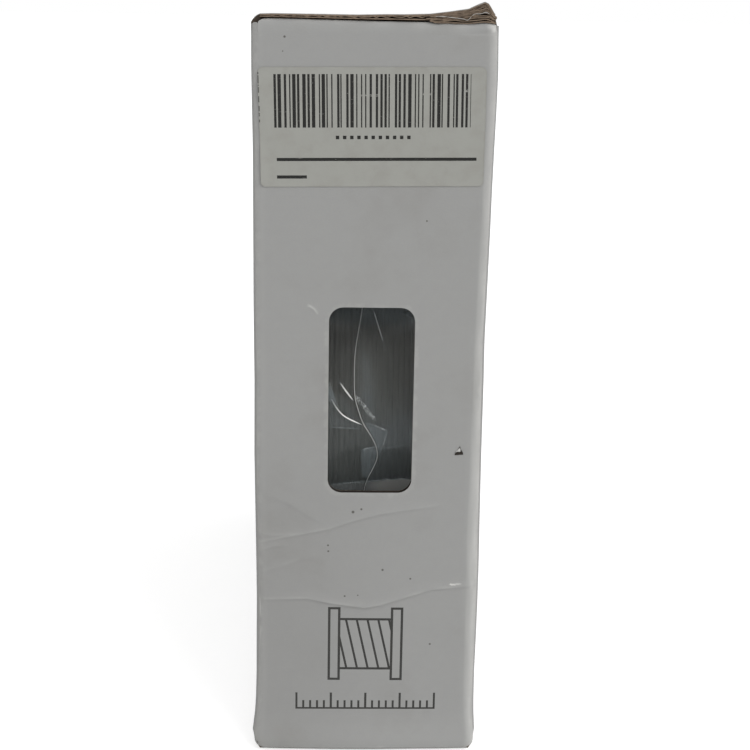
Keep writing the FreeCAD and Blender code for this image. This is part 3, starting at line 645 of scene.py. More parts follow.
class Mesh:
    """Vertices, faces and their marks, gathered before they become one piece."""

    def __init__(self):
        self.points = []
        self.faces = []
        self.marks = {}
        self.count = 0

    def add(self, points, faces, **marks):
        """Adds points in millimetres. Every mark has one row for each point."""
        for name, rows in marks.items():
            self.marks.setdefault(name, []).append(np.asarray(rows, float))
        self.points.append(np.asarray(points, float))
        self.faces += [tuple(int(index) + self.count for index in face) for face in faces]
        self.count += len(points)
        return self

    def slab(self, upper, lower, rows, columns, **marks):
        """Adds a closed slab between two grids of points. A mark has the upper and the lower rows."""
        size = rows * columns
        number = np.arange(size).reshape(rows, columns)
        rim = np.concatenate((number[0], number[1:, -1], number[-1, -2::-1], number[-2:0:-1, 0]))
        faces = grid_faces(rows, columns) + grid_faces(rows, columns, start=size, flip=True)
        faces += np.roll(strip_faces(rim, rim + size), 1, axis=1).tolist()
        joined = {name: np.concatenate(pair) for name, pair in marks.items()}
        return self.add(np.concatenate((upper, lower)), faces, **joined)

    def sheet(self, outer, inner, triangles, rim, **marks):
        """Adds a closed sheet between two layers of points with the same triangles and marks."""
        size = len(outer)
        triangles = np.asarray(triangles)
        faces = triangles.tolist() + (triangles[:, ::-1] + size).tolist() + strip_faces(rim, rim + size)
        doubled = {name: np.concatenate((rows, rows)) for name, rows in marks.items()}
        return self.add(np.concatenate((outer, inner)), faces, **doubled)

    def lathe(self, profile, count=144):
        """Adds a closed ring from a closed profile of x and radius."""
        x, radius = np.array(profile, float).T
        angles = np.linspace(0, 2 * math.pi, count, endpoint=False)
        rings = [round_spool(x, radius, angle) for angle in angles]
        return self.add(np.concatenate(rings), grid_faces(count, len(x), True, True))

    def tube(self, points, rows, columns, **marks):
        """Adds closed rows of points, joined one to the next, with caps on both ends."""
        size = rows * columns
        caps = [list(range(columns))[::-1], list(range(size - columns, size))]
        return self.add(points, grid_faces(rows, columns, closed_columns=True) + caps, **marks)

    def finish(self, name, material, slot, sharp=35.0):
        """Makes the piece. Edges that turn by more than sharp degrees stay sharp."""
        mesh = bpy.data.meshes.new(name)
        mesh.from_pydata((np.concatenate(self.points) * MILLIMETRE).tolist(), [], self.faces)
        for mark, rows in self.marks.items():
            rows = np.concatenate(rows)
            kind, field = ("FLOAT_VECTOR", "vector") if rows.ndim == 2 else ("FLOAT", "value")
            mesh.attributes.new(mark, kind, "POINT").data.foreach_set(field, rows.ravel())
        mesh.validate()
        mesh.shade_smooth()
        mesh.set_sharp_from_angle(angle=math.radians(sharp))
        mesh.materials.append(material)
        piece = bpy.data.objects.new(name, mesh)
        bpy.context.collection.objects.link(piece)
        return piece


def settle(piece, body, *nodes):
    """Puts a piece on its body in place of CAD nodes."""
    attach(piece, body)
    if nodes:
        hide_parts(*nodes)


def grid_faces(rows, columns, closed_rows=False, closed_columns=False, start=0, flip=False):
    """Faces of a grid of points, counted row by row."""
    number = start + np.arange(rows * columns).reshape(rows, columns)
    if closed_rows:
        number = np.concatenate((number, number[:1]))
    if closed_columns:
        number = np.concatenate((number, number[:, :1]), axis=1)
    faces = np.stack((number[:-1, :-1], number[:-1, 1:], number[1:, 1:], number[1:, :-1]), axis=-1)
    faces = faces.reshape(-1, 4)
    return (faces[:, ::-1] if flip else faces).tolist()


def strip_faces(above, below):
    """Faces between two closed rows of point numbers."""
    return np.stack((above, below, np.roll(below, -1), np.roll(above, -1)), axis=1).tolist()


def grid(across, along):
    """Both numbers of every place on a grid, row by row."""
    return (axis.ravel() for axis in np.meshgrid(across, along))


def curl(run, depth, low, high):
    """Follows a board round its folds: how far along it is, and how deep from the outer face."""
    along = run.copy()
    sink = depth.copy()
    for end, sign in ((low, -1), (high, 1)):
        if end is None:
            continue
        start = end - sign * FOLD
        turn = np.clip(sign * (run - start) / FOLD, 0, None)
        bent = turn > 0
        along[bent] = (start + sign * (FOLD - depth) * np.sin(turn))[bent]
        sink[bent] = (FOLD - (FOLD - depth) * np.cos(turn))[bent]
    return along, sink


class Board:
    """A flat board in its own frame: u and v along it, and depth from its outer face inwards."""

    def __init__(self, origin, across, along, inward, u_folds=(None, None), v_folds=(None, None)):
        self.origin = np.asarray(origin, float)
        self.axes = across, along, inward
        self.u_folds = u_folds
        self.v_folds = v_folds

    def place(self, u, v, depth):
        u_run, u_sink = curl(u, depth, *self.u_folds)
        v_run, v_sink = curl(v, depth, *self.v_folds)
        runs = u_run, v_run, u_sink + v_sink - depth
        return self.origin + sum(np.outer(run, axis) for run, axis in zip(runs, self.axes))


def rectangle(low_u, low_v, high_u, high_v, *radius):
    corners = (low_u, low_v), (high_u, low_v), (high_u, high_v), (low_u, high_v)
    return [corner + radius for corner in corners]


def trace(corners, spacing):
    """Points along a closed outline. A corner is u, v and, where it is rounded, a radius."""
    parts = []
    spots = [np.array(corner[:2], float) for corner in corners]
    for index, here in enumerate(spots):
        if len(corners[index]) == 2:
            parts.append([here])
            continue
        radius = corners[index][2]
        before = spots[index - 1] - here
        after = spots[(index + 1) % len(spots)] - here
        before /= np.linalg.norm(before)
        after /= np.linalg.norm(after)
        half = math.acos(np.clip(before @ after, -1, 1)) / 2
        middle = here + (before + after) / np.linalg.norm(before + after) * radius / math.sin(half)
        first = here + before * radius / math.tan(half) - middle
        last = here + after * radius / math.tan(half) - middle
        start = math.atan2(first[1], first[0])
        sweep = (math.atan2(last[1], last[0]) - start + math.pi) % (2 * math.pi) - math.pi
        angles = start + np.linspace(0, sweep, max(3, int(abs(sweep) * radius / spacing) + 1))
        parts.append([middle + radius * np.array((math.cos(angle), math.sin(angle))) for angle in angles])
    points = []
    for part, following in zip(parts, parts[1:] + parts[:1]):
        gap = following[0] - part[-1]
        count = int(np.linalg.norm(gap) / spacing)
        points += part + [part[-1] + gap * (step / (count + 1)) for step in range(1, count + 1)]
    return np.array(points)


def within(points, loop):
    """True for each point inside the closed loop."""
    odd = np.zeros(len(points), bool)
    x, y = points.T
    for (ax, ay), (bx, by) in zip(loop, np.roll(loop, -1, axis=0)):
        if ay != by:
            odd ^= ((ay > y) != (by > y)) & (x < ax + (y - ay) * (bx - ax) / (by - ay))
    return odd


def nearest(points, others):
    """Distance from each point to the nearest of the others."""
    best = np.full(len(points), 1e9)
    for start in range(0, len(others), 200):
        some = others[start:start + 200]
        best = np.minimum(best, np.linalg.norm(points[:, None] - some[None], axis=2).min(axis=1))
    return best


NO_POINTS = np.empty((0, 2))


def fill(outline, holes, step, extra=NO_POINTS):
    """Points and triangles that fill an outline, less its holes, and the loops as rows of point numbers."""

    def covers(spots):
        return within(spots, outline) & ~np.any([within(spots, hole) for hole in holes], axis=0)

    loops = [outline] + [hole[::-1] for hole in holes]
    edge_points = np.concatenate(loops)
    low, high = outline.min(axis=0), outline.max(axis=0)
    counts = np.maximum(1, ((high - low) / step).astype(int))
    lines = [np.linspace(low[axis], high[axis], counts[axis] + 1)[1:-1] for axis in (0, 1)]
    inner = np.stack(np.meshgrid(*lines), axis=-1).reshape(-1, 2)
    inner = inner[nearest(inner, extra) > 0.4 * step]
    room = np.concatenate((np.full(len(inner), 0.55 * step), np.full(len(extra), 0.25)))
    inner = np.concatenate((inner, extra))
    points = np.concatenate((edge_points, inner[covers(inner) & (nearest(inner, edge_points) > room)]))
    starts = np.cumsum([0] + [len(loop) for loop in loops])
    rows = [np.arange(start, end) for start, end in zip(starts, starts[1:])]
    edges = [pair for row in rows for pair in zip(row.tolist(), np.roll(row, -1).tolist())]
    made = delaunay_2d_cdt([Vector(point) for point in points.tolist()], edges, [], 1, 1e-6)
    found = np.array([tuple(point) for point in made[0]])
    number = {origin: index for index, origins in enumerate(made[3]) for origin in origins}
    triangles = np.array(made[2])
    triangles = triangles[covers(found[triangles].mean(axis=1))]
    return found, triangles, [np.array([number[index] for index in row]) for row in rows]


# Rows of points down a cut edge and the swing of the fluted paper, as shares of the board's thickness,
# and the depth of the hollows beside that paper.
EDGE_ROWS = (0.15, 0.19, 0.27, 0.36, 0.45, 0.55, 0.64, 0.73, 0.81, 0.85)
FLUTE_SWING = 0.30
FLUTE_HOLLOW = 0.8
BOARD_SLOT = "white_lined_board"


def flute_recess(across, share):
    """How deep a cut edge is hollow there: not at all at the fluted paper, and fully beside it."""
    paper = 0.5 + FLUTE_SWING * np.cos(2 * math.pi * across / FLUTE_PITCH)
    between_liners = smooth(np.abs(share - 0.5), 0.36, 0.31)
    return FLUTE_HOLLOW * smooth(np.abs(share - paper), 0.05, 0.13) * between_liners


def board_piece(
    name, node, board, corners, spacing, material, step, is_cut, at_crease=None, holes=(), extra=NO_POINTS,
    scuff=None, flutes_along_u=True, shape=crush, body="carton",
):
    """A board with both its faces and its cut edges.

    spacing is that of points along the outline, and step that of points inside it.
    is_cut(u, v) says where an edge shows its flutes, and at_crease(u, v) where it runs on into a fold."""
    flat, triangles, loops = fill(trace(corners, spacing), holes, step, extra)
    size = len(flat)
    border = flat[np.concatenate(loops)]
    if at_crease is not None:
        border = border[~at_crease(*border.T)]
    faces = triangles.tolist() + (triangles[:, ::-1] + size).tolist()
    marks = [np.column_stack((flat, np.full(size, share))) for share in (0.0, 1.0)]
    total = 2 * size
    for row in loops:
        spots = flat[row]
        way = np.roll(spots, -1, axis=0) - np.roll(spots, 1, axis=0)
        way /= np.linalg.norm(way, axis=1)[:, None]
        inner = np.stack((-way[:, 1], way[:, 0]), axis=1)
        cut = is_cut(*spots.T).astype(float)
        above = row
        for share in EDGE_ROWS:
            hollow = flute_recess(spots[:, 1 if flutes_along_u else 0], share) * cut
            marks.append(np.column_stack((spots + inner * hollow[:, None], np.full(len(row), share))))
            below = np.arange(total, total + len(row))
            total += len(row)
            faces += strip_faces(above, below)
            above = below
        faces += strip_faces(above, row + size)
    marks = np.concatenate(marks)
    u, v, share = marks.T
    edge_wear = bell(nearest(flat, border), 2.6)
    wear = np.concatenate((edge_wear, edge_wear, np.ones(total - 2 * size)))
    worn_and_lit = np.zeros(total) if scuff is None else scuff(marks[:, :2])
    points = shape(board.place(u, v, share * BOARD))
    mesh = Mesh().add(points, faces, board_mm=marks, wear=wear, scuff=worn_and_lit)
    settle(mesh.finish(name, material, BOARD_SLOT), body, node)


EAR_CORNER = 0.4


def make_walls():
    """The four walls, and the flap that glues the back wall to the left one."""
    side = HALF_WIDTH - FOLD_SHORT
    end = HALF_DEPTH - FOLD_SHORT
    foot = BOARD + FOLD_SHORT
    crease = DUST_FACE - FOLD
    left, right = (WINDOW_MIDDLE[0] + way * WINDOW_SIZE[0] / 2 for way in (-1, 1))
    low, high = (WINDOW_MIDDLE[1] + way * WINDOW_SIZE[1] / 2 for way in (-1, 1))
    # The front wall's cut edges, the window's rim among them, are darkened to 0.09 of the brown: painted
    # shade.
    board_piece(
        "front_wall", "front_panel",
        Board((0, -HALF_DEPTH, 0), X, Z, Y, (-HALF_WIDTH, HALF_WIDTH), (0, None)), [
            (-side, FOLD_SHORT), (side, FOLD_SHORT), (side, crease), (CREASE_LEFT, crease),
            (CREASE_LEFT, DUST_FACE, EAR_CORNER), (-side, DUST_FACE),
        ], 0.7, board_material("board_front", 1, is_front=True, edge_tone_and_shade=0.09), 1.15,
        is_cut=lambda u, v: (u > left - 1) & (u < right + 1) & (v > low - 1) & (v < high + 1),
        at_crease=lambda u, v: (v > crease - 0.1) & (u > CREASE_LEFT),
        holes=[trace(rectangle(left, low, right, high, WINDOW_CORNER), 0.4)],
        extra=front_detail(), scuff=front_scuff,
    )
    board_piece(
        "right_wall", "right_panel",
        Board((HALF_WIDTH, 0, 0), Y, Z, -X, (-HALF_DEPTH, HALF_DEPTH), (BOARD, None)), [
            (-end, foot), (end, foot), (end, TOP), (CRUSH_START, TOP, 1.5),
            (CRUSH_FULL, CRUSHED_TOP, 2.0), (-end, CRUSHED_TOP),
        ], 1.2, board_material("board_right", 2), 2.8, lambda u, v: v > CRUSHED_TOP - 1,
    )
    board_piece(
        "back_wall", "back_panel", Board((0, HALF_DEPTH, 0), -X, Z, -Y, (-HALF_WIDTH, None), (0, None)), [
            (-side, FOLD_SHORT), (HALF_WIDTH, FOLD_SHORT), (HALF_WIDTH, DUST_FACE),
            (-CREASE_LEFT, DUST_FACE, EAR_CORNER), (-CREASE_LEFT, crease), (-side, crease),
        ], 0.8, board_material("board_back", 3), 2.2, lambda u, v: u > HALF_WIDTH - 0.5,
        at_crease=lambda u, v: (v > crease - 0.1) & (u < -CREASE_LEFT),
    )
    glued = HALF_DEPTH - BOARD
    board_piece(
        "left_wall", "left_panel", Board((-HALF_WIDTH, 0, 0), -Y, Z, X, (-glued, HALF_DEPTH), (BOARD, None)),
        rectangle(FOLD_SHORT - glued, foot, end, TOP - FOLD), 1.6, board_material("board_left", 4), 2.8,
        lambda u, v: v > TOP, at_crease=lambda u, v: v > TOP - FOLD - 0.1,
    )
    slope_end = GLUE_EDGE + GLUE_SLOPE / 2
    board_piece(
        "glue_tab", "glue_flap", Board((0, glued, 0), -X, Z, -Y, (None, HALF_WIDTH)), [
            (GLUE_EDGE, GLUE_LOW + GLUE_SLOPE), (slope_end, GLUE_LOW), (side, GLUE_LOW), (side, GLUE_HIGH),
            (slope_end, GLUE_HIGH), (GLUE_EDGE, GLUE_HIGH - GLUE_SLOPE),
        ], 0.8, board_material("board_glue", 5), 2.8, lambda u, v: u < side - 0.5,
    )


def make_bottom_flaps():
    seam = CUT_INSET / 2
    for side, name in ((1, "front"), (-1, "back")):
        wide = HALF_WIDTH - CUT_INSET
        fold = HALF_DEPTH - FOLD_SHORT
        low, high = sorted((side * seam, side * fold))
        folds = (None, HALF_DEPTH) if side > 0 else (-HALF_DEPTH, None)
        board_piece(
            f"floor_{name}_outer", f"bottom_{name}_flap", Board((0, 0, 0), X, -Y, Z, (None, None), folds),
            rectangle(-wide, low, wide, high), 0.8, board_material(f"board_floor_{name}", 6 + side), 2.8,
            lambda u, v: np.abs(v) < fold - 0.5,
        )
    for side, name in ((-1, "left"), (1, "right")):
        long = HALF_DEPTH - FOLD - CUT_INSET
        fold = HALF_WIDTH - FOLD_SHORT
        low, high = sorted((side * seam, side * fold))
        folds = (None, HALF_WIDTH) if side > 0 else (-HALF_WIDTH, None)
        board_piece(
            f"floor_{name}_inner", f"bottom_{name}_flap", Board((0, 0, BOARD), X, -Y, Z, folds),
            rectangle(low, -long, high, long), 0.8, board_material(f"board_floor_{name}", 9 + side), 2.8,
            lambda u, v: np.abs(u) < fold - 0.5, flutes_along_u=False,
        )


# Ends of the dust flaps' straight edge at the fold.
DUST_ROOT_LEFT = DUST_LEFT + FOLD * DUST_SLANT
DUST_ROOT_RIGHT = DUST_RIGHT - FOLD * DUST_TAPER


def make_dust_flaps():
    crease = HALF_DEPTH - FOLD
    for side, name in ((-1, "front"), (1, "back")):
        corners = [
            (DUST_ROOT_LEFT, side * crease), (DUST_ROOT_RIGHT, side * crease),
            (DUST_RIGHT - DUST_LENGTH * DUST_TAPER, side * DUST_TIP, DUST_CORNER),
            (DUST_LEFT + DUST_LENGTH * DUST_SLANT, side * DUST_TIP, DUST_CORNER),
        ]
        board_piece(
            f"{name}_dust_board", f"top_{name}_dust_flap", Board((0, 0, DUST_FACE), X, Y, -Z),
            corners[::-side], 0.5, board_material(f"board_dust_{name}", 12 + side), 2.0,
            is_cut=lambda u, v: np.abs(v) < crease - 0.2, at_crease=lambda u, v: np.abs(v) > crease - 0.2,
            body=f"{name}_dust",
        )


def make_tuck_flap():
    down = np.array((-math.sin(TUCK_LEAN), 0, -math.cos(TUCK_LEAN)))
    inward = np.array((-math.cos(TUCK_LEAN), 0, math.sin(TUCK_LEAN)))
    board_piece(
        "tuck_board", "top_tuck_flap", Board((TUCK_FACE, 0, TOP), -Y, down, inward), [
            (-TUCK_END, TUCK_RUN), (TUCK_END, TUCK_RUN), (TUCK_END, TUCK_LENGTH, TUCK_CORNER),
            (-TUCK_END, TUCK_LENGTH, TUCK_CORNER),
        ], 0.5, board_material("board_tuck", 15), 2.0, lambda u, v: v > TUCK_RUN + 0.2,
        at_crease=lambda u, v: v < TUCK_RUN + 0.2, shape=lambda points: lift(points, 0.55), body="tuck",
    )


def spread(low, high, fine, coarse, ends=4):
    """Numbers from low to high: close together at both ends and wider apart between."""
    steps = np.concatenate(([0], np.cumsum([fine * 1.7 ** index for index in range(ends)])))
    near, far = low + steps, high - steps[::-1]
    middle = np.linspace(near[-1], far[0], max(2, int((far[0] - near[-1]) / coarse)) + 1)[1:-1]
    return np.concatenate((near, middle, far))


# The lid's ears beside its tuck flap, and how far, where and over what length the lid sags near its ends.
EAR_LENGTH = 6.2
EAR_RIGHT = 32.6
BACK_EAR_RIGHT = 31.6
LID_SAG = 0.27
SAG_PLACE = 86.0
SAG_LENGTH = 9.0
# Loose papers in the lid's torn corner, as depth, share of the lift and seed.
TORN_PLIES = (
    (0.22, 0.97, 30), (0.40, 0.91, 31), (0.55, 0.84, 32), (0.70, 0.76, 33), (0.80, 0.66, 34),
    (0.90, 0.55, 35), (1.00, 0.44, 36), (1.10, 0.33, 39), (1.25, 0.21, 41), (1.40, 0.10, 42),
)
# A torn strip of paper across that corner, as x and z.
TORN_EDGE = (
    (16.5, 223.0), (18.6, 223.1), (21.4, 222.8), (24.6, 222.5), (25.4, 222.0), (26.2, 222.9), (27.2, 224.0),
    (29.2, 223.9), (30.2, 224.5), (31.4, 224.0),
)


def at_lid_end(v, reach):
    """1 at the lid's front and back ends, falling to 0 over the reach."""
    return smooth(np.abs(v), LID_END - reach, LID_END)


def lid_layer(mesh, us, vs, upper, lower, share, ragged, seed):
    """Adds one paper of the lid. upper and lower give its depths by u and v, share its part in the lift."""
    u, v = grid(us, vs)
    ends = np.column_stack((u, np.sign(v)))
    frayed = ragged * waves(ends, seed, 2.6, 9) + ragged * waves(ends, seed + 1, 9.0)
    moved = v + frayed * at_lid_end(v, 3.5) * np.sign(v)
    sag = LID_SAG * bell(np.abs(v) - SAG_PLACE, SAG_LENGTH) * smooth(16.0 - np.abs(u - 2.0), -16.0, 2.0)
    depths = upper(u, v), lower(u, v)
    points = [lift(np.column_stack((u, moved, TOP - depth - sag)), share) for depth in depths]
    marks = [np.column_stack((u, v, depth / BOARD)) for depth in depths]
    edge = bell(LID_END - np.abs(v), 2.6)
    mesh.slab(*points, len(vs), len(us), board_mm=marks, wear=(edge, edge))


def flute_depth(u, v):
    """Middle of the fluted paper. It wanders a little, and is pressed flatter at the lid's ends."""
    end = at_lid_end(v, 5.0)
    sway = 0.6 * waves(np.column_stack((0.05 * u, v)), 27, 60.0) + 0.8 * end * waves(u[:, None], 28, 6.0)
    swing = (BOARD / 2 - LINER - FLUTE_PAPER / 2) * (1 - 0.45 * end)
    return BOARD / 2 + swing * np.cos(2 * math.pi * (u + sway) / FLUTE_PITCH)


def pressed(u, v):
    """How much of the lid's thickness is left: its front end is pressed thin over the pushed-up fold."""
    return 1 - np.interp(u, RISE_X, RISE_UP) / BOARD * smooth(-v, 101.0, 104.8)


def lid_papers():
    """Depths of the lid's three papers by u and v, their part in the lift, how ragged they are, and a seed.

    Their cut ends are fluffed up, which nearly closes the flutes."""

    def fluff(v):
        return at_lid_end(v, 4.0)

    def half_flute(v):
        return FLUTE_PAPER / 2 + 0.16 * fluff(v)

    return (
        (lambda u, v: 0 * u, lambda u, v: LINER + 0.20 * fluff(v), 1.0, 0.14, 21),
        (
            lambda u, v: (flute_depth(u, v) - half_flute(v)) * pressed(u, v),
            lambda u, v: (flute_depth(u, v) + half_flute(v)) * pressed(u, v), 0.70, 0.22, 23,
        ),
        (
            lambda u, v: (BOARD - LINER - 0.22 * fluff(v)) * pressed(u, v),
            lambda u, v: BOARD * pressed(u, v), 0.22, 0.12, 25,
        ),
    )


def torn_ply(depth, seed):
    """Depths of one of the loose papers in the lid's torn corner."""

    def upper(u, v):
        return depth + 0.22 * waves(np.column_stack((u, 0.3 * v)), seed, 5.0)

    return upper, lambda u, v: upper(u, v) + 0.34


def make_lid():
    """Two papers with a fluted one between them, open at the front and back ends."""
    mesh = Mesh()
    ear_rows = np.linspace(-LID_END, EAR_LENGTH - LID_END, 9)
    patches = [
        (np.linspace(FOLD - HALF_WIDTH, TUCK_FOLD_X, 181), spread(-LID_END, LID_END, 0.5, 9.0, 7)),
        (np.linspace(TUCK_FOLD_X, EAR_RIGHT, 16), ear_rows),
        (np.linspace(TUCK_FOLD_X, BACK_EAR_RIGHT, 9), -ear_rows[::-1]),
    ]
    for us, vs in patches:
        for paper in lid_papers():
            lid_layer(mesh, us, vs, *paper)
    for depth, share, seed in TORN_PLIES:
        us = np.linspace(14.0 + seed % 5, EAR_RIGHT + 0.5 * math.sin(2.7 * seed), 44)
        vs = np.linspace(-LID_END - 0.15, 13 - LID_END, 14)
        lid_layer(mesh, us, vs, *torn_ply(depth, seed), share, 0.22, seed)
    material = board_material("board_lid", 17, flutes_along_u=False, edge_tone_and_shade=1.02)
    settle(mesh.finish("lid_board", material, BOARD_SLOT), "lid", "top_lid")
    make_torn_liner(material)


def make_torn_liner(material):
    """A strip of white paper that came loose across the lid's raised corner."""
    path = fine_line(TORN_EDGE, 0.4)
    rows = np.linspace(-HALF_DEPTH - 0.1, -HALF_DEPTH + 4.5, 8)
    x, z = np.tile(path, (len(rows), 1)).T
    y = np.repeat(rows, len(path))
    y = y + 0.22 * waves(np.column_stack((x, 0.2 * y)), 37, 3.0) * bell(y + HALF_DEPTH, 1.5)
    half = 0.12 * (0.8 + 0.4 * waves(x[:, None], 38, 2.5))
    points = [np.column_stack((x, y, z + rise)) for rise in (half, -half)]
    mark = np.column_stack((x, y, 0 * x + 0.07))
    scuff = np.full(len(x), 0.50)
    mesh = Mesh().slab(*points, len(rows), len(path), board_mm=(mark, mark), scuff=(scuff, scuff))
    settle(mesh.finish("torn_liner", material, BOARD_SLOT), "lid")


def crease_piece(
    name, centre, first, second, turn, axis, spans, seed, shape, edge_tone_and_shade=EDGE_TONE, scuff=None,
):
    """The board round a fold between two boards.

    centre is the fold's middle, first and second point from it to the two outer faces.
    spans gives how far it reaches along the axis at the first board and at the second."""
    shares = np.linspace(0, 1, max(41, int(spans[0][1] - spans[0][0])))
    angles = np.linspace(0, turn, 25)
    angle = np.repeat(angles, len(shares))
    mix = smooth(angle / turn, 0.3, 0.9)
    low, high = ((1 - mix) * spans[0][end] + mix * spans[1][end] for end in (0, 1))
    along = low + (high - low) * np.tile(shares, len(angles))
    side = (second - first * math.cos(turn)) / math.sin(turn)
    arm = np.outer(np.cos(angle), first) + np.outer(np.sin(angle), side)
    layers = [centre + (FOLD - depth) * arm + np.outer(along, axis) for depth in (0.0, BOARD)]
    marks = [np.column_stack((along, FOLD * angle, np.full(len(along), share))) for share in (0.0, 1.0)]
    worn_and_lit = [np.zeros(len(along)) if scuff is None else scuff(layer[:, (0, 2)]) for layer in layers]
    wear = np.sin(math.pi * angle / turn) * 0.55
    mesh = Mesh().slab(
        *(shape(layer) for layer in layers), len(angles), len(shares),
        board_mm=marks, wear=(wear, wear), scuff=worn_and_lit,
    )
    piece = mesh.finish(name, board_material(f"board_{name}", seed, edge_tone_and_shade=edge_tone_and_shade), BOARD_SLOT)
    tangent = side * math.cos(turn / 2) - first * math.sin(turn / 2)
    room = (FOLD - BOARD) * math.sin(turn / 2)
    start = (centre - tangent * room) * MILLIMETRE
    end = (centre + tangent * room) * MILLIMETRE
    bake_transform(piece)


def round_corner(points):
    """Lets the dust flaps' folds follow the rounded side edges, and pushes the front one up."""
    moved = points.copy()
    x, y, z = points.T
    past = np.clip(np.abs(x) - (HALF_WIDTH - FOLD), 0, FOLD - 0.1)
    moved[:, 1] -= np.sign(y) * (FOLD - np.sqrt(FOLD ** 2 - past ** 2))
    low = DUST_FACE - FOLD
    pushed = smooth(z, low, low + 1.9) * smooth(-y, HALF_DEPTH - FOLD, HALF_DEPTH - 1.2)
    moved[:, 2] += 1.35 * pushed * np.interp(x, RISE_X, RISE_UP)
    return crush(moved)


def soften_corner(points):
    """Rounds the lid's hinge off more where it meets the front."""
    moved = crush(points)
    share = np.clip((points[:, 2] - (TOP - FOLD)) / FOLD, 0, 1)
    inwards = 0.45 * share * np.sqrt(1 - share ** 2) * bell(points[:, 1] + HALF_DEPTH, 14.0)
    moved[:, 0] += inwards
    moved[:, 2] -= inwards
    return moved


def make_creases():
    level = TOP - FOLD
    hinge = LID_END - 1.6
    # The lid crease's cut ends are darkened to 0.3 of the brown: painted shade in the notch where they sit
    # back from the front.
    crease_piece(
        "lid_crease", np.array((FOLD - HALF_WIDTH, 0, level)), -X, Z, math.pi / 2, Y,
        ((-hinge, hinge), (-hinge, hinge)), 21, soften_corner, edge_tone_and_shade=0.3,
    )
    ear = LID_END - EAR_LENGTH
    tuck_face = np.array((math.cos(TUCK_LEAN), 0, -math.sin(TUCK_LEAN)))
    crease_piece(
        "tuck_crease", np.array((TUCK_FOLD_X, 0, level)), Z, tuck_face, TUCK_FOLD_TURN, -Y,
        ((-ear, ear), (-TUCK_END, TUCK_END)), 22, lambda points: lift(points, 0.8),
    )
    for side, name in ((-1, "front"), (1, "back")):
        centre = np.array((0, side * (HALF_DEPTH - FOLD), DUST_FACE - FOLD))
        spans = [(CREASE_LEFT + 0.04, CREASE_RIGHT), (DUST_ROOT_LEFT, DUST_ROOT_RIGHT)]
        if side > 0:
            spans = [(-high, -low) for low, high in spans]
        crease_piece(
            f"{name}_dust_crease", centre, side * Y, Z, math.pi / 2, -side * X,
            spans, 24 + side, round_corner, scuff=front_scuff if side < 0 else None,
        )


def on_front(x, z):
    """Points on the worn front face."""
    return crush(np.column_stack((x, np.full(len(x), -HALF_DEPTH), z)))


def make_label():
    half_u, half_v = LABEL_SIZE[0] / 2, LABEL_SIZE[1] / 2
    corners = rectangle(-half_u, -half_v, half_u, half_v, LABEL_CORNER)
    flat, triangles, (rim,) = fill(trace(corners, 0.6), [], 1.1)
    u, v = flat.T
    away = nearest(flat, flat[rim])
    lifted = 0.30 * bell(u + half_u, 1.6) * np.clip(0.4 + waves(flat, 31, 9.0), 0, 1)
    lifted += 0.05 * bell(away, 0.8)
    x = LABEL_X + u * math.cos(LABEL_TILT) - v * math.sin(LABEL_TILT)
    z = LABEL_Z + u * math.sin(LABEL_TILT) + v * math.cos(LABEL_TILT)
    wall = on_front(x, z)
    outer, inner = (wall - np.outer(height + lifted, Y) for height in (LABEL_PAPER, 0.02))
    mark = np.column_stack((u + LABEL_X - PRINT_X, v + LABEL_Z - PRINT_Z, 0 * u))
    mesh = Mesh().sheet(outer, inner, triangles, rim, board_mm=mark, wear=bell(away, 1.0))
    settle(mesh.finish("paper_label", label_material(), "label_paper"), "carton", "front_label")


# A small tear in the front face: corners of the loose fleck and of the pit under it, which is dark with
# painted shadow, as x and z, and how far each corner stands off.
TEAR_FLECK = (((27.2, 99.2), (25.9, 97.8), (27.4, 98.1)), (0.1, 0.3, 0.7))
TEAR_PIT = (((27.2, 99.5), (25.6, 96.8), (28.3, 97.0)), (0.05, 0.05, 0.05))
TEAR_STEPS = 9
TEAR_PAPER = 0.14


def triangle_grid(count):
    """A triangle cut into small ones: points as shares of its corners, faces, and rim as point numbers."""
    places = [(i, j) for i in range(count + 1) for j in range(count + 1 - i)]
    number = {place: index for index, place in enumerate(places)}
    faces = []
    for i, j in places:
        if i + j < count:
            faces.append((number[i, j], number[i + 1, j], number[i, j + 1]))
        if i + j < count - 1:
            faces.append((number[i + 1, j], number[i + 1, j + 1], number[i, j + 1]))
    rim = [number[i, 0] for i in range(count)]
    rim += [number[count - j, j] for j in range(count)]
    rim += [number[0, count - j] for j in range(count)]
    second, third = np.array(places, float).T / count
    return np.column_stack((1 - second - third, second, third)), faces, np.array(rim)


def make_tear():
    """A fleck of loose paper over a small pit, dark with painted shadow."""
    # The pit shows the board's brown, darkened to a tenth of it as painted shadow under the fleck.
    material = board_material("board_tear", 27, edge_tone_and_shade=0.10)
    mix, triangles, rim = triangle_grid(TEAR_STEPS)
    for name, (corners, stand), depth, scuff in (
        ("loose_fleck", TEAR_FLECK, 0.0, 0.6), ("torn_pit", TEAR_PIT, 0.5, 0.0),
    ):
        flat = mix @ np.array(corners)
        flat = flat + 0.16 * np.column_stack((waves(flat, 91, 1.1), waves(flat, 92, 0.9)))
        wall = on_front(*flat.T)
        off = mix @ np.array(stand)
        outer, inner = (wall - np.outer(off + paper, Y) for paper in (TEAR_PAPER, 0.0))
        mark = np.column_stack((flat, np.full(len(flat), depth)))
        worn_and_lit = np.full(len(flat), scuff)
        mesh = Mesh().sheet(outer, inner, triangles, rim, board_mm=mark, scuff=worn_and_lit)
        settle(mesh.finish(name, material, BOARD_SLOT), "carton")


def round_spool(x, radius, angle):
    """Points about the spool's axis. Angle 0 faces the window and a quarter turn faces up."""
    return np.column_stack((x, -radius * np.cos(angle), AXIS_HEIGHT + radius * np.sin(angle)))


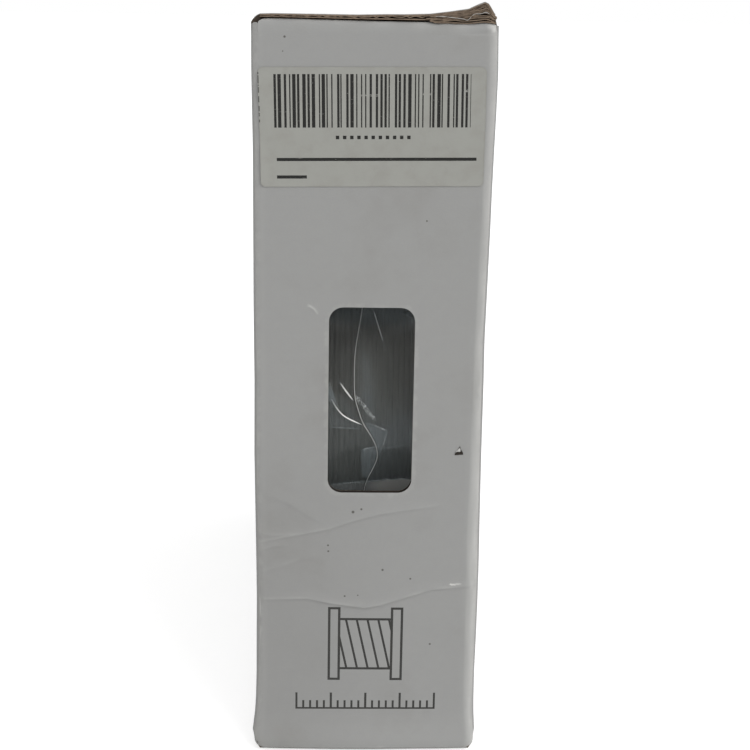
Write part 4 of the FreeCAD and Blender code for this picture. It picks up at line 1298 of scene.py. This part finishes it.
def make_spool():
    material = spool_material()
    inner, outer, bore, rim = FLANGE_INSIDE, FLANGE_OUTSIDE, BORE_RADIUS, RIM_RADIUS
    profile = [
        (outer - 0.7, bore), (outer, bore + 0.7), (outer, bore + 5), (outer - 0.6, bore + 5.6),
        (outer - 0.6, 60), (outer - 0.6, rim - 4.6), (outer, rim - 4), (outer, rim - 0.8),
        (outer - 0.8, rim), (inner + 0.8, rim), (inner, rim - 0.8), (inner, 70),
        (inner, BARREL_RADIUS + 1.2), (inner - 1.2, BARREL_RADIUS), (0.0, BARREL_RADIUS),
        (0.0, BARREL_INSIDE), (inner - 0.5, BARREL_INSIDE), (inner, BARREL_INSIDE - 0.5),
        (inner, bore + 0.5), (inner + 0.5, bore),
    ]
    for side, name in ((-1, "left"), (1, "right")):
        mesh = Mesh().lathe([(side * x, radius) for x, radius in profile[::side]])
        piece = mesh.finish(f"spool_{name}", material, "spool_plastic")
        drill(piece, side)
        settle(piece, "carton", f"spool_{name}_half")


def drill(piece, side):
    """Cuts the two parking holes through the flange."""
    count = 24
    mesh = Mesh()
    angles = np.linspace(0, 2 * math.pi, count, endpoint=False)
    caps = [tuple(range(count))[::-1], tuple(range(count, 2 * count))]
    faces = grid_faces(2, count, closed_columns=True) + caps
    for way in (1, -1):
        y = PARKING_HOLE * np.cos(angles)
        z = AXIS_HEIGHT + way * PARKING_RADIUS + PARKING_HOLE * np.sin(angles)
        ends = [np.full(count, side * x) for x in (FLANGE_INSIDE - 1, FLANGE_OUTSIDE + 1)]
        points = np.concatenate([np.column_stack((x, y, z)) for x in ends])
        mesh.add(points, [face[::side] for face in faces])
    drill_piece = mesh.finish("drill", piece.data.materials[0], "spool_plastic")
    cut = piece.modifiers.new("holes", "BOOLEAN")
    cut.operation = "DIFFERENCE"
    cut.object = drill_piece
    cut.solver = "EXACT"
    made = bpy.data.meshes.new_from_object(piece.evaluated_get(bpy.context.evaluated_depsgraph_get()))
    piece.modifiers.clear()
    piece.data = made
    bpy.data.objects.remove(drill_piece)


TURNS = 29
STEPS_PER_TURN = 72
THREAD_SIDES = 8


def make_filament():
    material = filament_material()
    layer = WINDING_RADIUS - 0.5
    ridge = np.linspace(WINDING_HALF, -WINDING_HALF, 8 * TURNS)
    rounds = layer - 0.12 + 0.12 * np.abs(np.cos(math.pi * ridge / FILAMENT))
    right, left = ([(x, BARREL_RADIUS + GAP), (x, layer - 1)] for x in (WINDING_HALF, -WINDING_HALF))
    core = Mesh().lathe(right + list(zip(ridge, rounds)) + left[::-1], 96)
    settle(core.finish("winding_core", material, "filament", 60.0), "carton", "filament_core")
    count = TURNS * STEPS_PER_TURN + 1
    run = np.linspace(0, 1, count)
    angle = 2 * math.pi * TURNS * run + math.pi / 2
    limit = WINDING_HALF - FILAMENT / 2
    x = -limit + 2 * limit * run
    x += 0.10 * waves(np.column_stack((np.cos(angle), np.sin(angle), 12 * run)), 41, 2.2)
    x = np.clip(x, -limit, limit)
    pressed_in = 0.10 * np.abs(waves(np.column_stack((angle, 40 * run)), 42, 3.0))
    radius = WINDING_RADIUS - FILAMENT / 2 - pressed_in
    centre = round_spool(x, radius, angle)
    outward = round_spool(np.zeros(count), np.ones(count), angle) - AXIS_HEIGHT * Z
    ring = np.linspace(0, 2 * math.pi, THREAD_SIDES, endpoint=False)[None, :, None]
    tube = centre[:, None] + FILAMENT / 2 * 0.99 * (np.cos(ring) * outward[:, None] + np.sin(ring) * X)
    thread = Mesh().tube(tube.reshape(-1, 3), count, THREAD_SIDES)
    settle(thread.finish("winding_layer", material, "filament", 70.0), "carton", "filament_layer")


FILM_SLOT = "bag_film"
FILM_HAZE = 0.03
# Folds of the bag behind the window, as x in millimetres and degrees above the level of the spool's axis.
FOLD_EDGE = (
    (-1.6, 24.0), (-2.0, 19.6), (-3.4, 14.9), (-4.2, 11.4), (-4.3, 7.8), (-4.1, 3.7), (-2.8, 1.2),
    (-1.6, -1.0), (1.5, -4.0), (3.1, -6.3), (3.2, -8.3), (1.8, -10.5), (0.3, -12.4), (-0.6, -14.3),
    (-1.0, -17.0),
)
BIG_CREASE = ((-12.4, 7.0), (-11.6, 4.4), (-10.4, 2.6), (-8.3, 0.8), (-6.1, -0.2), (-1.8, -1.3))
# Line, width and height in millimetres, whiteness as a painted highlight, and where and over how much of the
# line that highlight is brightest.
FILM_CREASES = (
    (FOLD_EDGE, 0.23, 0.20, 0.70, 0.58, 0.85),
    (BIG_CREASE, 0.46, 0.14, 1.5, 0.80, 0.40),
    (BIG_CREASE[:4], 2.2, 0.25, 0.15, 0.45, 0.40),
    (((-10.4, 8.1), (-7.9, 5.9), (-6.5, 4.7), (-4.5, 3.2)), 0.52, 0.15, 1.7, 0.70, 0.30),
    (((1.4, 19.6), (2.0, 18.4), (3.2, 16.0), (5.1, 12.3)), 0.34, 0.30, 0.50, 0.35, 0.80),
    (((7.0, 19.6), (10.7, 18.9), (13.6, 18.0)), 0.60, 0.30, 0.30, 0.7, 0.50),
    (((-13.0, -1.6), (-6.7, -2.0), (-1.2, -2.1)), 0.38, 0.15, 0.20, 0.5, 1.2),
    (((-0.6, -1.0), (2.6, -1.6), (6.1, -2.6)), 0.40, 0.15, 0.34, 0.7, 0.90),
    (((6.1, -2.6), (4.9, -5.2), (3.4, -8.0)), 0.40, 0.15, 0.36, 0.4, 0.90),
    (((-1.7, -6.3), (1.6, -5.9), (3.4, -5.7)), 0.40, 0.12, 0.30, 0.3, 0.90),
    (((-1.7, -6.3), (-1.6, -9.0), (-1.1, -12.2)), 0.40, 0.12, 0.20, 0.4, 0.80),
    (((4.2, -6.1), (9.0, -5.5), (14.2, -4.7)), 0.40, 0.12, 0.18, 0.5, 0.90),
    (((-12.6, -13.2), (-6.0, -13.2), (1.0, -13.2), (8.0, -12.7), (14.2, -12.0)),
     0.36, 0.15, 0.20, 0.6, 0.70),
)
# Corners of the places where the film lies double or is milky, how milky, and how softly that ends.
FILM_PATCHES = (
    (((-2.4, 18.0), (4.0, 8.0), (3.2, 0.0), (1.0, -2.0), (-2.4, 1.0), (-4.1, 3.7), (-4.3, 7.8),
      (-4.2, 11.4)), 0.045, 4.0),
    (((-1.0, -1.0), (6.1, -2.6), (3.5, -8.3), (3.1, -6.3), (1.5, -4.0)), 0.085, 0.30),
    (((-1.7, -6.3), (1.6, -5.9), (3.2, -6.6), (3.2, -8.3), (1.8, -10.5), (0.3, -12.4), (-1.1, -12.2)),
     0.12, 0.30),
    (((-12.6, 6.0), (-4.6, 4.0), (-2.6, -1.0), (-6.0, -0.5), (-10.0, 1.6)), 0.030, 2.0),
    (((3.6, -3.0), (9.0, 1.0), (14.2, 2.0), (14.2, -4.8), (4.4, -6.2)), 0.022, 0.6),
    (((-12.6, 2.8), (-10.4, 2.6), (-8.3, 0.8), (-6.1, -0.2), (-1.8, -1.3), (-1.5, -2.0), (-12.6, -1.6)),
     0.035, 0.5),
)
# The crinkled patch beside the fold.
CRINKLE = ((-3.7, 4.2), (-2.2, 2.9), (-0.3, 1.5), (1.3, 0.2), (2.4, -0.6))
CRINKLE_COLUMNS = 15
# Where the bag's seal ends, in degrees, and how long a degree of the rim is in millimetres.
SEAL_HIGH = 190.0
SEAL_LOW = -12.7
DEGREE_RUN = 1.75
# Half of the bag's folded mouth: in degrees round the rim, and in millimetres across it.
MOUTH_TURN = 22
MOUTH_HALF = 22


def film_radius(x, angle):
    """How far the bag is from the spool's axis. It sinks in between the flanges."""
    span = np.clip(1 - (x / 27.0) ** 2, 0, 1)
    place = np.column_stack((x / 24.0, 3.4 * np.cos(angle), 3.4 * np.sin(angle)))
    folds = waves(place, 51, 1.5) * 1.3 + np.abs(waves(place, 52, 0.75)) * 0.5
    return FILM_RADIUS - np.clip(span ** 1.4 * (5.6 + folds), 0, 11.0)


def seal_end(x):
    """Where the bag's seal ends under the window, in degrees above the level of the spool's axis."""
    return 0.045 * x - 12.6 - 0.75 * bell(x - 1.0, 9.0)


def make_bag_film():
    """The clear bag: slack between the flanges, and drawn flat over their sides."""
    angles = np.radians(np.concatenate((np.arange(-32, 32.01, 0.5), np.arange(34, 328, 2.5))))
    across = spread(-FILM_SIDE, FILM_SIDE, 0.25, 1.0)
    side_radii = np.concatenate((np.linspace(3.0, 94.0, 16), [97.5, 99.4]))
    side_haze = np.full(len(side_radii), FILM_HAZE)
    rings = []
    hazes = []
    for angle in angles:
        radius = film_radius(across, np.full(len(across), angle))
        sway = waves(np.column_stack((side_radii * np.cos(angle), side_radii * np.sin(angle))), 55, 34.0)
        side = FILM_SIDE + 0.18 * sway * smooth(100.0 - side_radii, 0.0, 6.0)
        right = round_spool(side[::-1], side_radii[::-1], angle)
        left = round_spool(-side, side_radii, angle)
        rings.append(np.concatenate((left, round_spool(across, radius, angle), right)))
        under_seal = smooth(seal_end(across) - math.degrees(angle), -0.15, 0.15) * (angle < 0.6)
        # Under the seal's end the film is milkier, and whiter still towards the right: painted light where
        # the window's edge shades it.
        rim_haze = FILM_HAZE + (0.32 + 0.18 * smooth(across, -2.0, 6.0)) * under_seal
        hazes.append(np.concatenate((side_haze, rim_haze, side_haze)))
    columns = len(rings[0])
    faces = grid_faces(len(angles), columns, closed_rows=True)
    size = len(angles) * columns
    first = np.arange(0, size, columns)
    last = first + columns - 1
    faces += [(size, right, left) for left, right in zip(first, np.roll(first, -1))]
    faces += [(size + 1, left, right) for left, right in zip(last, np.roll(last, -1))]
    hubs = np.array(((-FILM_SIDE, 0, AXIS_HEIGHT), (FILM_SIDE, 0, AXIS_HEIGHT)))
    haze = np.concatenate(hazes + [side_haze[:2]])
    mesh = Mesh().add(np.concatenate(rings + [hubs]), faces, haze=haze)
    piece = mesh.finish("clear_bag", film_material(), FILM_SLOT, 70.0)
    settle(piece, "carton", "bag_left_film", "bag_right_film")


def film_haze(x, degrees):
    """How milky the film is at each place behind the window."""
    spots = np.column_stack((x, degrees * DEGREE_RUN))
    haze = np.zeros(len(x))
    for corners, milk, soft in FILM_PATCHES:
        loop = np.asarray(corners, float) * (1, DEGREE_RUN)
        away, _ = off_line(spots, np.concatenate((loop, loop[:1])))
        inwards = np.where(within(spots, loop), np.abs(away), 0)
        haze = np.maximum(haze, milk * smooth(inwards, 0.0, soft))
    return haze


def on_film(line, offset):
    """Places on the film for x and degrees, a little above it."""
    x, degrees = line.T
    angle = np.radians(degrees)
    return round_spool(x, film_radius(x, angle) + offset, angle)


def ribbon(mesh, path, width, rises, haze):
    """A strip along a line on the film, closed below. rises gives the heights across it."""
    way = np.gradient(path * (1, DEGREE_RUN), axis=0)
    way /= np.linalg.norm(way, axis=1)[:, None]
    aside = np.column_stack((-way[:, 1], way[:, 0] / DEGREE_RUN))
    share = np.linspace(0, 1, len(path))
    taper = np.clip(np.sin(math.pi * (0.03 + 0.94 * share)) * 2.2, 0.15, 1)
    columns = len(rises[0])
    rows = []
    for rise, offset in zip(rises.T, np.linspace(-0.5, 0.5, columns)):
        shift = offset * width * taper
        rows.append(on_film(path + aside * shift[:, None], 0.75 + rise * taper))
    mesh.tube(np.stack(rows, axis=1).reshape(-1, 3), len(path), columns, haze=haze.ravel())


def make_film_creases():
    """Sharp folds that catch the light, as raised ridges on the film with painted highlights, and a crinkled
    patch with painted glints.
    """
    mesh = Mesh()
    for line, width, height, white, brightest, reach in FILM_CREASES:
        path = fine_line(line, 0.35, DEGREE_RUN)
        # A painted highlight along each crease, brightest at its given share.
        glow = bell(np.linspace(0, 1, len(path)) - brightest, reach)
        rises = np.tile((0.0, height, 0.0), (len(path), 1))
        ribbon(mesh, path, width * (0.45 + 0.55 * glow), rises, np.tile(white * glow, (3, 1)).T)
    draw = np.random.default_rng(65)
    path = fine_line(CRINKLE, 0.17, DEGREE_RUN)
    size = len(path), CRINKLE_COLUMNS
    rises = np.clip(draw.normal(0.12, 0.08, size), 0, 0.3)
    rises[:, (0, -1)] = 0
    # A fifth of the crinkle's points are nearly white: painted glints.
    spots = np.where(draw.random(size) < 0.20, 0.75, 0.03)
    ribbon(mesh, path, 1.4, rises, spots)
    settle(mesh.finish("bag_creases", film_material(), FILM_SLOT, 40.0), "carton")


def make_side_seam():
    """The bag's sealed edge, folded over on the rim in front, with one wavy fold in it."""
    front = np.radians(np.arange(SEAL_LOW, 22.0, 0.25))
    angles = np.concatenate((front, np.linspace(math.radians(23), math.radians(SEAL_HIGH), 64)))
    across = np.linspace(-12.4, 14.2, 90)
    x, angle = grid(across, angles)
    angle = angle + np.radians(seal_end(x) - SEAL_LOW) * smooth(-np.degrees(angle), 9.0, -SEAL_LOW)
    degrees = np.degrees(angle)
    edge_x, edge_degrees = np.array(FOLD_EDGE)[::-1].T
    past_fold = smooth(x - np.interp(angle, np.radians(edge_degrees), edge_x), -0.15, 0.15)
    # Milkier right of the fold edge, where the film lies double, and whiter towards the bottom as painted
    # light.
    haze = 0.012 + 0.022 * past_fold + film_haze(x, degrees) + 0.07 * smooth(-degrees, -10.0, 6.0)
    # A whiter band at the window's top edge: painted light where that edge shades the film.
    haze += 0.22 * smooth(degrees, 14.5, 21.5) * smooth(-degrees, -28.0, -23.0)
    sway = waves(np.column_stack((4 * angle, 0 * angle)), 61, 2.0) * smooth(np.abs(angle - 0.1), 0.5, 1.0)
    x = x + 0.7 * sway
    radius = film_radius(x, angle)
    upper = round_spool(x, radius + 0.45 + 0.22 * past_fold, angle)
    lower = round_spool(x, radius + 0.22, angle)
    mesh = Mesh().slab(upper, lower, len(angles), len(across), haze=(haze, haze))
    settle(mesh.finish("bag_seal", film_material(), FILM_SLOT, 70.0), "carton", "bag_side_seam")


def make_mouth():
    """The bag's sealed mouth, folded flat on top, with crimped bands across it."""
    angles = np.radians(np.linspace(90 - MOUTH_TURN, 90 + MOUTH_TURN, 90))
    across = np.linspace(-MOUTH_HALF, MOUTH_HALF, 60)
    x, angle = grid(across, angles)
    arc = (angle - math.pi / 2) * RIM_RADIUS
    banded = smooth(np.abs(arc), 28.0, 30.0)
    crimp = 0.12 * np.sin(arc * 2 * math.pi / 1.6) * banded
    ripple = 0.5 * np.abs(waves(np.column_stack((x, arc)), 71, 16.0)) + crimp
    base = np.maximum(film_radius(x, angle), FILM_RADIUS - 3.0) + 0.75 + ripple
    haze = 0.07 + 0.16 * banded
    upper, lower = (round_spool(x, base + rise, angle) for rise in (0.2, 0.0))
    mesh = Mesh().slab(upper, lower, len(angles), len(across), haze=(haze, haze))
    settle(mesh.finish("bag_mouth_fold", film_material(), FILM_SLOT, 70.0), "carton", "bag_mouth")


def make_sachet():
    """A small filled pouch with flat sealed ends."""
    low, high = box("drying_sachet")
    centre, half = (low + high) / 2, (high - low) / 2
    count = 41
    shares = np.linspace(-1, 1, count)
    x, y = grid(shares, shares)
    seal = smooth(1 - np.abs(x), 0.0, 0.22)
    crown = seal * np.sqrt(np.clip(1 - y ** 4, 0, 1))
    lumps = 1 + 0.12 * waves(np.column_stack((x, y)), 81, 0.5)
    crimp = 0.15 * np.sin(y * 60) * (1 - seal)
    waist = 1 - 0.05 * (1 - y ** 2) * seal
    thick = half[2] * np.clip(crown * lumps, 0.05, 1.0) * 0.95
    outline = np.column_stack((centre[0] + half[0] * x * waist, centre[1] + half[1] * y))
    upper, lower = (np.column_stack((outline, centre[2] + rise + crimp)) for rise in (thick, -thick))
    mesh = Mesh().slab(upper, lower, count, count)
    piece = mesh.finish("sachet_pouch", sachet_material(), "sachet_paper", 60.0)
    settle(piece, "carton", "drying_sachet")


# Camera, from the photo's edges: place in millimetres, turns, sensor width and focal length.
CAMERA_PLACE = (-10.9, -505.0, 223.6)
CAMERA_PITCH = math.radians(14.445)
CAMERA_YAW = math.radians(1.80)
CAMERA_ROLL = math.radians(0.99)
SENSOR = 36.0
LENS = 67.39


def make_camera():
    level = np.array((math.cos(CAMERA_YAW), -math.sin(CAMERA_YAW), 0))
    forward = np.array((math.sin(CAMERA_YAW), math.cos(CAMERA_YAW), 0))
    ahead = math.cos(CAMERA_PITCH) * forward - math.sin(CAMERA_PITCH) * Z
    upright = np.cross(level, ahead)
    right = math.cos(CAMERA_ROLL) * level + math.sin(CAMERA_ROLL) * upright
    up = math.cos(CAMERA_ROLL) * upright - math.sin(CAMERA_ROLL) * level
    data = bpy.data.cameras.new("camera")
    data.sensor_width = SENSOR
    data.lens = LENS
    data.clip_start = 0.01
    data.clip_end = 100
    camera = bpy.data.objects.new("camera", data)
    bpy.context.collection.objects.link(camera)
    turn = Matrix((right, up, -ahead)).transposed().to_4x4()
    camera.matrix_world = Matrix.Translation(Vector(CAMERA_PLACE) * MILLIMETRE) @ turn
    bpy.context.scene.camera = camera


AMBIENT = 0.50
WHITE = (1.0, 1.0, 1.0)
FLOOR_GREY = (0.82, 0.82, 0.82)
FLOOR_GLOW = 0.62
# In metres: half the floor's side, and how far it lies below the carton.
FLOOR_REACH = 60.0
FLOOR_DROP = 0.0003
# Where a light comes from, how strong it is and how many degrees wide.
SUNS = {"key": ((0.62, -0.62, 0.66), 1.30, 40.0), "fill": ((-0.15, -1.0, 0.25), 0.62, 80.0)}


def background_rays(nodes):
    """1 for rays that show the background itself: the camera's, mirrored and refracted ones."""
    kinds = "Is Camera Ray", "Is Glossy Ray", "Is Transmission Ray"
    camera, mirrored, refracted = nodes.add("LightPath", {}, *kinds)
    return camera | mirrored | refracted


def make_world():
    world = bpy.data.worlds.new("studio")
    bpy.context.scene.world = world
    world.use_nodes = True
    world.node_tree.nodes.clear()
    nodes = Nodes(world.node_tree)
    soft = nodes.add("Background", {"Color": WHITE, "Strength": AMBIENT}, 0)
    white = nodes.add("Background", {"Color": WHITE, "Strength": 1.0}, 0)
    sky = nodes.add("MixShader", {0: background_rays(nodes), 1: soft, 2: white}, 0)
    nodes.add("OutputWorld", {0: sky})


def make_floor():
    mesh = bpy.data.meshes.new("floor")
    corners = rectangle(-FLOOR_REACH, -FLOOR_REACH, FLOOR_REACH, FLOOR_REACH, 0.0)
    mesh.from_pydata(corners, [], [(0, 1, 2, 3)])
    floor = bpy.data.objects.new("floor", mesh)
    floor.location.z = -FLOOR_DROP
    bpy.context.collection.objects.link(floor)
    material = bpy.data.materials.new("pale_floor")
    material.use_nodes = True
    material.node_tree.nodes.clear()
    nodes = Nodes(material.node_tree)
    matt = nodes.add("BsdfDiffuse", {"Color": FLOOR_GREY}, 0)
    glow = nodes.add("Emission", {"Strength": background_rays(nodes) * FLOOR_GLOW}, 0)
    nodes.add("OutputMaterial", {0: nodes.add("AddShader", {0: matt, 1: glow}, 0)})
    mesh.materials.append(material)


def make_suns():
    for name, (place, strength, width) in SUNS.items():
        data = bpy.data.lights.new(name, "SUN")
        data.energy = strength
        data.angle = math.radians(width)
        sun = bpy.data.objects.new(name, data)
        bpy.context.collection.objects.link(sun)
        sun.rotation_mode = "QUATERNION"
        sun.rotation_quaternion = Vector(place).to_track_quat("Z", "Y")


bpy.context.scene.view_settings.view_transform = "Standard"
make_camera()
make_world()
make_floor()
make_suns()
make_walls()
make_bottom_flaps()
make_dust_flaps()
make_tuck_flap()
make_lid()
make_creases()
make_label()
make_tear()
make_spool()
make_filament()
make_bag_film()
make_side_seam()
make_film_creases()
make_mouth()
make_sachet()
